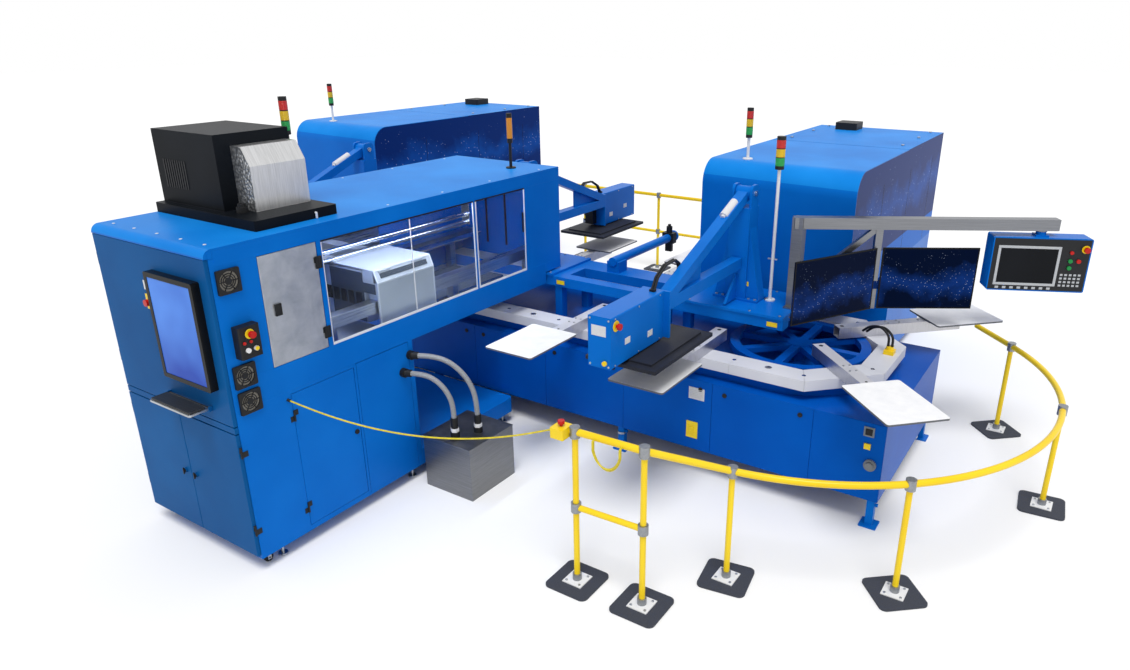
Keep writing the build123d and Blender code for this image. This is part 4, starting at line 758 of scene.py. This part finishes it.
carriage_front, carriage_back = -2034, -1514
shroud_top = 1586
sheet = 5
shroud = coat("carriage_silver_coat", "#bfc4ca", "#d9dde1", roughness=0.3, metal=0.2)
dark_cover = moulding("carriage_dark_cover", "#3a4049", "#4d545e", 0.35)
dress("print_carriage", shroud)
dress("print_rails", metal("print_rail_steel", "#b0b3b8", "#dadcdf", 0.3, (20.0, 2.0, 500.0)))
lean = Matrix.Translation((-2.222, 0, 1.583)) @ Matrix.Rotation(math.radians(68), 4, "Y")
panel = bmesh.new()
plate(panel, -2640, -2320, carriage_front - 6, carriage_front - 3, 1215, 1560)
plate(panel, -2320, -2205, carriage_front - 6, carriage_front - 3, 1425, 1495)
plate(panel, 26, 62, -1990, -1560, 3, 4.5, lean)
fit(panel, "carriage_dark_panel", "print_carriage", dark_cover)
apron = bmesh.new()
plate(apron, -2690, -2222, carriage_front, carriage_back, shroud_top - 6, shroud_top)
plate(apron, 0, 88, carriage_front, carriage_back, -3, 3, lean)
plate(apron, -2192, -2187, carriage_front, carriage_back, 1200, 1504)
for y in (carriage_front, carriage_back - sheet):
    plate(apron, -2312, -2190, y, y + sheet, 1425, 1502)
    plate(apron, -2200, -2190, y, y + sheet, 1200, 1425)
    plate(apron, -2312, -2222, y, y + sheet, 1502, 1582)
fit(apron, "carriage_apron", "print_carriage", shroud, 1.0)
trim = bmesh.new()
plate(trim, -2187, -2184, carriage_front, carriage_back, 1496, 1508)
for y in (carriage_front, carriage_back - 10):
    plate(trim, -2187, -2184, y, y + 10, 1200, 1496)
    plate(trim, 2, 86, y, y + 10, 3, 6, lean)
plate(trim, 0, 8, carriage_front, carriage_back, 3, 6, lean)
fit(trim, "carriage_white_trim", "print_carriage", white_bead, 0.4)
head_row = bmesh.new()
for x in range(-2690, -2320, 74):
    plate(head_row, x, x + 50, carriage_front - 12, carriage_front - 3, 1330, 1420)
fit(head_row, "print_head_blocks", "print_carriage", black_moulding)


# Hatch: a brushed stainless sheet on two black hinges, with a black quarter-turn latch.
# It closes the electrical bay beside the window.


def brushed_hatch():
    # Stainless rubbed in small arcs, so the light breaks into blotches
    made, tree, shader, place = surface("rubbed_stainless")
    blotch = add(tree, "TexNoise", at=place, Scale=9.0, Detail=6.0, Roughness=0.65, Distortion=0.3)
    lines = add(tree, "TexNoise", at=place, Scale=260.0, Detail=3.0)
    tone = shade_range(tree, blotch, "Fac", 0.25, 0.75, "#a3a9b1", "#c2c6cc")
    link(tree, tone, 2, shader, "Base Color")
    rough = add(tree, "MapRange", From_Min=0.3, From_Max=0.7, To_Min=0.34, To_Max=0.46)
    link(tree, blotch, "Fac", rough, "Value")
    link(tree, rough, "Result", shader, "Roughness")
    tune(shader, Metallic=1.0)
    relief(tree, shader, lines, "Fac", 0.0001, 0.002)
    return made


dress("hatch_door", brushed_hatch(), (is_hinge, black_moulding))


# Side fittings: three vent fans in black frames with grey mesh, and a control box with its lamps.
# All are moulded plastic, screwed to the cabinet's side.

box_face = -2055
fan_mesh = moulding("fan_mesh", "#77736c", "#98948b", 0.6, 3.0, 0.0006)
white_plastic = moulding("white_lamp_cap", "#dfe0e1", "#eeeeef", 0.3)


def is_fan_back(centre, normal):
    return -2115.5 < centre.x < -2110.0 and -3165 < centre.y < -3030 and normal.x > 0.5


def is_lamp(centre, normal):
    return centre.x > box_face + 0.1 and 1410 < centre.z < 1440


dress("side_fittings", black_moulding, (is_fan_back, fan_mesh), (is_lamp, white_plastic))
lens = bmesh.new()
round_bar(lens, (-2043, -3040, 1425), (-2040, -3040, 1425), 12)
fit(lens, "yellow_lamp_lens", "machine", yellow_coat)
pushes = bmesh.new()
for y in (-3105, -3065):
    round_bar(pushes, (box_face, y, 1470), (box_face + 7, y, 1470), 9)
fit(pushes, "red_push_buttons", "machine", red_moulding)


# Touch screen and keyboard shelf: a black-cased industrial screen and a folding tray of dark keys.
# Both are carried by the upper end door. The shelf is bent from brushed sheet and turns on a pin.


def lit_screen():
    # A lit blank screen: blue with a lighter band across its upper half
    made, tree, shader, place = surface("lit_blue_screen")
    axes = add(tree, "SeparateXYZ", at=place)
    drift = add(tree, "TexNoise", at=place, Scale=2.5, Detail=2.0)
    blend = add(tree, "Math", "ADD")
    link(tree, axes, "Z", blend, 0)
    link(tree, drift, "Fac", blend, 1)
    tone = shade_range(tree, blend, 0, 1.75, 2.3, "#1a43a6", "#4f86de")
    link(tree, tone, 2, shader, "Base Color")
    link(tree, tone, 2, shader, "Emission Color")
    tune(shader, Emission_Strength=0.16, Specular_IOR_Level=0.1, Roughness=0.12)
    return made


def is_screen_face(centre, normal):
    return normal.y < -0.9 and centre.y > -3261 and -2625 < centre.x < -2220


gloss_black = coat("black_gloss_case", "#0c0d0f", "#15171a", roughness=0.22, peel=0.00002, edge=0.0015)
dress("touch_screen", gloss_black, (is_screen_face, lit_screen()))


def key_field():
    # Dark keys 19 mm apart with rounded tops
    made, tree, shader, place = surface("dark_keys")
    keys = add(tree, "TexBrick", at=place, Scale=1.0, Mortar_Size=0.0022, Mortar_Smooth=0.4,
               Brick_Width=0.019, Row_Height=0.019, Color1="#26282c", Color2="#2d3034", Mortar="#0b0c0d")
    link(tree, keys, "Color", shader, "Base Color")
    tune(shader, Roughness=0.45)
    relief(tree, shader, keys, "Color", 0.003)
    return made


dress("keyboard_shelf", metal("shelf_brushed", "#a5a8ac", "#c3c6c9", 0.35, (2.0, 500.0, 2.0)),
      (lambda c, n: c.z > 1067.1, key_field()))


# Exhaust unit: a painted tray and box on the roof with a brushed louvre over its inlet.
# The louvre's near end is filter foil. A white pipe drains the tray onto the roof.

hood_coat = coat("hood_dark_coat", "#0c0f13", "#161a20", roughness=0.42, shine=0.06)
louvre_steel = metal("louvre_brushed_steel", "#b9babb", "#e2e2e3", 0.36, (6.0, 240.0, 6.0), 0.0004)


def crinkled_foil():
    # Filter foil folded a few millimetres apart: pale in the middle of each fold and grey at its
    # creases, painted glints and painted shade over the bump's real relief
    made, tree, shader, place = surface("crinkled_foil")
    folds = add(tree, "TexVoronoi", at=place, Scale=55.0)
    tone = shade_range(tree, folds, "Distance", 0.1, 0.7, "#e4e5e6", "#8d9093")
    link(tree, tone, 2, shader, "Base Color")
    tune(shader, Metallic=0.8, Roughness=0.35)
    relief(tree, shader, folds, "Distance", 0.004)
    return made


def is_louvre(centre, normal):
    return centre.x > -2599.5 and centre.z > 2066


def is_louvre_end(centre, normal):
    return is_louvre(centre, normal) and normal.y < -0.9


dress("exhaust_hood", hood_coat, (is_louvre, louvre_steel), (is_louvre_end, crinkled_foil()))
front_vents = bmesh.new()
for x in range(-3150, -2910, 24):
    plate(front_vents, x, x + 12, -2753, -2750, 2160, 2330)
fit(front_vents, "hood_front_grille", "machine", black_moulding, 0.4)
fitting = bmesh.new()
round_bar(fitting, (-2500, -2700, 2065), (-2500, -2700, 2100), 34)
round_bar(fitting, (-2500, -2700, 2100), (-2500, -2700, 2118), 24)
fit(fitting, "louvre_foot_fitting", "machine", black_moulding)
drain = bmesh.new()
round_bar(drain, (-2228, -2400, 2040), (-2228, -2400, roof_top + 2), 7)
round_bar(drain, (-2240, -2400, 2040), (-2228, -2400, 2040), 7)
fit(drain, "white_drain_pipe", "machine", white_bead)


# Stack lights: thin poles with a black-capped column of red, yellow and green lenses.
# The lenses are clear moulded plastic. The one over the window has a single amber lens.


def lens_plastic(name, deep, light):
    # Ribbed clear plastic over a coloured insert
    made, tree, shader, place = surface(name)
    ribs = add(tree, "TexWave", at=place, Scale=120.0, Distortion=0.0)
    ribs.bands_direction = "Z"
    tone = shade_range(tree, ribs, "Fac", 0.0, 1.0, deep, light)
    link(tree, tone, 2, shader, "Base Color")
    tune(shader, Roughness=0.25)
    relief(tree, shader, ribs, "Fac", 0.0006)
    return made


lenses = (
    ("green", lens_plastic("green_lens", "#0c8a3a", "#19b454")),
    ("yellow", lens_plastic("yellow_lens", "#d6a90a", "#f0cc1d")),
    ("red", lens_plastic("red_lens", "#b31410", "#dc2a1e")),
)
pole_white = moulding("pole_white_coat", "#d8dade", "#e9eaec", 0.3)
dress("stack_lights", black_moulding, (lambda c, n: c.z < 2125 and c.x > -300, pole_white))
lens_step = 62
for place_name, body, x, y, top, radius in (
        ("window_engine", "machine", -2690, -2190, 2675, 26),
        ("tower", "machine", -276, 45, 2360, 32),
        ("back_engine_2", "engine_cover_2", -775, 640, 2480, 26),
        ("back_engine_3", "engine_cover_3", -5725, 640, 2480, 26)):
    low = top - 205
    for tone, lens in lenses:
        ring = bmesh.new()
        round_bar(ring, (x, y, low), (x, y, low + lens_step - 6), radius + 0.8, sides=40)
        fit(ring, "%s_lens_%s" % (tone, place_name), body, lens, 1.5)
        low += lens_step
bracket = bmesh.new()
plate(bracket, -312, -240, 37, 53, 1466, 1476)
fit(bracket, "tower_light_bracket", "machine", zinc)
amber = bmesh.new()
round_bar(amber, (-2396, -359, 2240), (-2396, -359, 2400), 22.8, sides=40)
fit(amber, "amber_lens_window_engine", "machine", lens_plastic("amber_lens", "#d9800c", "#ef9d22"), 1.5)


# Back engines: long cabinets whose front rolls over in one hinged cover. Their sides carry a dark
# printed film, drawn here as a plain speckle.


def speckled_film(name, deep, light, scale, band, spread, foot=0.0):
    # Dark blue film with scattered pale specks, thickest round the height band in metres.
    # Below the height foot the film ends and the plain coat shows
    made, tree, shader, place = surface(name)
    axes = add(tree, "SeparateXYZ", at=place)
    specks = add(tree, "TexVoronoi", at=place, Scale=scale)
    drift = add(tree, "TexNoise", at=place, Scale=2.6, Detail=5.0, Roughness=0.6)
    thin = add(tree, "TexNoise", at=place, Scale=5.3, Detail=3.0)
    wave = add(tree, "MapRange", From_Min=0.3, From_Max=0.7, To_Min=band + 0.12, To_Max=band - 0.12)
    away = add(tree, "Math", "SUBTRACT")
    size = add(tree, "Math", "ABSOLUTE")
    thick = add(tree, "MapRange", From_Min=0.0, From_Max=spread, To_Min=1.0, To_Max=0.0)
    link(tree, drift, "Fac", wave, "Value")
    link(tree, axes, "Z", away, 0)
    link(tree, wave, "Result", away, 1)
    link(tree, away, 0, size, 0)
    link(tree, size, 0, thick, "Value")
    base = shade_range(tree, thick, "Result", 0.0, 1.0, deep, light)
    few = add(tree, "MapRange", From_Min=0.54, From_Max=0.7, To_Min=0.0, To_Max=0.8)
    most = add(tree, "Math", "MAXIMUM")
    near = add(tree, "MapRange", From_Min=0.16, From_Max=0.06)
    amount = add(tree, "Math", "MULTIPLY")
    mix = add(tree, "Mix")
    mix.data_type = "RGBA"
    mix.inputs[7].default_value = linear("#c4d4f4") + [1.0]
    link(tree, thin, "Fac", few, "Value")
    link(tree, few, "Result", most, 0)
    link(tree, thick, "Result", most, 1)
    link(tree, specks, "Distance", near, "Value")
    link(tree, near, "Result", amount, 0)
    link(tree, most, 0, amount, 1)
    link(tree, amount, 0, mix, 0)
    link(tree, base, 2, mix, 6)
    ends = shade_range(tree, axes, "Z", foot, foot + 0.002, "#0066c6", "#000000")
    link(tree, mix, 2, ends, 7)
    link(tree, ends, 2, shader, "Base Color")
    tune(shader, Roughness=0.4, Specular_IOR_Level=0.05, Specular_Tint="#6cb0ff")
    relief(tree, shader, drift, "Fac", 0.0002, 0.003)
    return made


film = speckled_film("dark_side_film", "#062a6e", "#0b479c", 26.0, 1.66, 0.2, 1.3)


def is_side(left, right):
    def test(centre, normal):
        near = min(abs(centre.x - left), abs(centre.x - right))
        return abs(normal.x) > 0.9 and centre.z > 1100 and near < 1.5
    return test


engine_roof = 2080
lamp_foot = 2250
for number, left, right in ((2, -1065, 185), (3, -6115, -4865)):
    # The roof faces take the lighter roof coat, painted light on the tops.
    dress("engine_cabinet_%d" % number, blue_coat, (is_side(left, right), film), (is_roof, roof_painted_light_coat),
          (lambda c, n: c.z > engine_roof + 0.5, black_moulding))
    dress("engine_cover_%d" % number, blue_coat, (is_roof, roof_painted_light_coat),
          (lambda c, n: c.z > lamp_foot, black_moulding),
          (lambda c, n: engine_roof + 0.5 < c.z <= lamp_foot, pole_white))
    dress("engine_carriage_%d" % number, shroud)
    lifting = bmesh.new()
    for x in (left + 110, right - 110):
        for y in (2100, 2700, 3180):
            round_bar(lifting, (x, y, engine_roof), (x, y, engine_roof + 12), 15, sides=6)
    fit(lifting, "roof_lifting_bolts_%d" % number, "machine", zinc, 0.6)
    grips = bmesh.new()
    for x in (left + 260, right - 260):
        plate(grips, x - 60, x + 60, 422, 430, 1120, 1135)
    fit(grips, "cover_grip_strips_%d" % number, "engine_cover_%d" % number, black_moulding)
    joints = bmesh.new()
    for face, out in ((left, -0.8), (right, 0.8)):
        for y in (1180, 2050, 2900):
            plate(joints, face, face + out, y, y + 4, 1090, 1890)
    fit(joints, "side_panel_seams_%d" % number, "machine", gloss_black, 0)


# Ink tank: welded brushed stainless with a loose lid, standing on the floor.
# Black and white hose fittings are screwed into the lid and into the engine's side.

tank_steel = metal("tank_brushed_steel", "#6e6f71", "#8f9092", 0.36, (6.0, 6.0, 320.0), 0.0002, 0.004)
dress("ink_tank", tank_steel, (lambda c, n: c.z > 409, black_moulding))
dress("hose_couplings", black_moulding)
collar = bmesh.new()
for x, y in ((-1791, -1826), (-1706, -1682)):
    round_bar(collar, (x, y, 440), (x, y, 468), 30, sides=6)
fit(collar, "white_hose_collars", "machine", white_plastic)


# Guard rail: yellow powder-coated tube in grey cast clamps, on plates screwed through rubber mats.
# Three posts stand at the back, two by the stop box and four on a bend round the press's end.

dress("guard_rail_tubes", yellow_coat)
clamp_grey = metal("clamp_cast_alloy", "#8b8e92", "#a9acb0", 0.45, (60.0, 60.0, 60.0))


def is_stop_box(centre, normal):
    return -592 < centre.x < -501 and -2320 < centre.y < -2214 and centre.z > 960


def is_foot_plate(centre, normal):
    return centre.z < 19


dress("rail_fittings", clamp_grey, (is_stop_box, yellow_coat), (is_foot_plate, white_plastic))
dress("rail_mats", moulding("mat_rubber", "#33363f", "#454954", 0.75, 2.5, 0.0006, 0.003))
bend_radius = 1760
foot_top = 18
foot_places = [(-474, -2240), (-39, -2224), (-4473, 3740), (-3303, 3740), (-2133, 3740)]
for angle in (-81.5, -49.5, 4.6, 42.0):
    heading = math.radians(angle)
    foot_places.append((bend_radius * math.cos(heading), bend_radius * math.sin(heading)))
studs = bmesh.new()
for x, y in foot_places:
    for dx in (-46, 46):
        for dy in (-46, 46):
            round_bar(studs, (x + dx, y + dy, foot_top), (x + dx, y + dy, foot_top + 6), 8, sides=6)
fit(studs, "foot_plate_screws", "machine", zinc, 0.4)
# Two loops of spare cord hang from the top rail
coil = bmesh.new()
for shift, depth in ((0, 150), (12, 135)):
    loop = []
    for step in range(13):
        angle = math.radians(200 + step * 140 / 12)
        loop.append((-250 + 92 * math.cos(angle), -2262 - shift, 985 + depth * math.sin(angle)))
    bent_line(coil, loop, 5)
    for end in (loop[0], loop[-1]):
        bent_line(coil, [end, (end[0], end[1], 990), (end[0], -2236, 1000)], 5)
fit(coil, "spare_cord_coil", "machine", signal.data.materials[0], 0)


# Boom: square aluminium extrusion with a brace and a drop bar for two flat display panels.
# It stands on the first tower's deck plate and points out towards the guard rail.

boom_foot = -80
boom_heading = math.radians(30.7)


def boom_turn(reach, angle):
    """The place reach mm out along the boom, turned by angle degrees."""
    x = boom_foot + reach * math.cos(boom_heading)
    y = reach * math.sin(boom_heading)
    return Matrix.Translation((x / 1000, y / 1000, 0)) @ Matrix.Rotation(math.radians(angle), 4, "Z")


dress("boom", metal("boom_extrusion", "#76787d", "#94969b", 0.36, (4.0, 4.0, 600.0)))
display_film = speckled_film("display_dark_glass", "#040c26", "#0f2f70", 60.0, 1.33, 0.13)


def is_display(centre, normal):
    return abs(normal.z) < 0.1 and abs(centre.z - 1382) < 225 and normal.y < -0.3


def border(mesh, x0, x1, z0, z1, width, y0, y1, turn):
    """A flat frame round an opening between two corners in mm, its uprights between its rails."""
    plate(mesh, x0, x1, y0, y1, z0, z0 + width, turn)
    plate(mesh, x0, x1, y0, y1, z1 - width, z1, turn)
    plate(mesh, x0, x0 + width, y0, y1, z0 + width, z1 - width, turn)
    plate(mesh, x1 - width, x1, y0, y1, z0 + width, z1 - width, turn)


dress("display_panels", gloss_black, (is_display, display_film))
for place_name, angle, x0, x1 in (("left", 62.0, -790, -34), ("right", 32.0, 34, 720)):
    edge = bmesh.new()
    border(edge, x0, x1, 1155, 1610, 10, -37.5, -36, boom_turn(565, angle))
    fit(edge, "display_edge_%s" % place_name, "machine", gloss_black, 0.3)


# Control panel: a blue housing on a swivel pin, its black face with a bare screen and push buttons.
# The pin hangs from the boom's end. The buttons and keys are moulded plastic.

panel_face = -75
screen_left, screen_right, screen_low, screen_high = -290, 130, 1352, 1640
screen_frame = 18
panel_turn = boom_turn(1695, 25.4)
panel_back = panel_turn.inverted()


def is_panel_face(centre, normal):
    local = panel_back @ (centre / 1000)
    return abs(local.x) < 0.3225 and local.y < -0.045 and 1.317 < local.z < 1.693


panel_black = moulding("panel_black_film", "#131417", "#1e2024", 0.4)
dress("control_panel", blue_coat, (is_panel_face, panel_black))
frame_grey = moulding("screen_frame_grey", "#a9acb1", "#c0c3c7", 0.4)
rim = bmesh.new()
border(rim, screen_left, screen_right, screen_low, screen_high, screen_frame,
       panel_face - 4, panel_face, panel_turn)
fit(rim, "panel_screen_frame", "control_panel", frame_grey)
dark_glass = coat("dark_screen_glass", "#0a0c10", "#11141a", roughness=0.1, peel=0.00001, edge=0.001)
glass = bmesh.new()
plate(glass, screen_left + screen_frame, screen_right - screen_frame, panel_face - 1.5, panel_face,
      screen_low + screen_frame, screen_high - screen_frame, panel_turn)
fit(glass, "panel_screen_glass", "control_panel", dark_glass, 0.3)
green_plastic = moulding("green_button_plastic", "#0f7a36", "#169247", 0.3)
for tone, finish, places in (
        ("green", green_plastic, ((200, 1540, 15), (200, 1490, 15))),
        ("red", red_moulding, ((255, 1540, 15), (200, 1600, 13)))):
    buttons = bmesh.new()
    for x, z, radius in places:
        round_bar(buttons, (x, panel_face, z), (x, panel_face - 12, z), radius, turn=panel_turn)
    fit(buttons, "panel_%s_buttons" % tone, "control_panel", finish)
keys = bmesh.new()
for z in range(1360, 1439, 26):
    for x in range(160, 281, 30):
        plate(keys, x - 9, x + 9, panel_face - 3, panel_face, z - 7, z + 7, panel_turn)
for x in range(-260, 91, 50):
    plate(keys, x - 12, x + 12, panel_face - 3, panel_face, 1326, 1342, panel_turn)
fit(keys, "panel_small_keys", "control_panel", frame_grey, 0.5)
collar = bmesh.new()
round_bar(collar, (290, panel_face, 1625), (290, panel_face - 3, 1625), 28, turn=panel_turn)
fit(collar, "stop_collar_panel", "control_panel", yellow_coat)


# Casters: zinc-plated forks with black rubber wheels under the window engine's door end.
# Each fork swivels on its stem and each wheel turns on its axle.

caster_rubber = moulding("caster_rubber", "#141516", "#1f2021", 0.7)
for number in (1, 2):
    dress("caster_fork_%d" % number, zinc)
    dress("caster_wheel_%d" % number, caster_rubber)
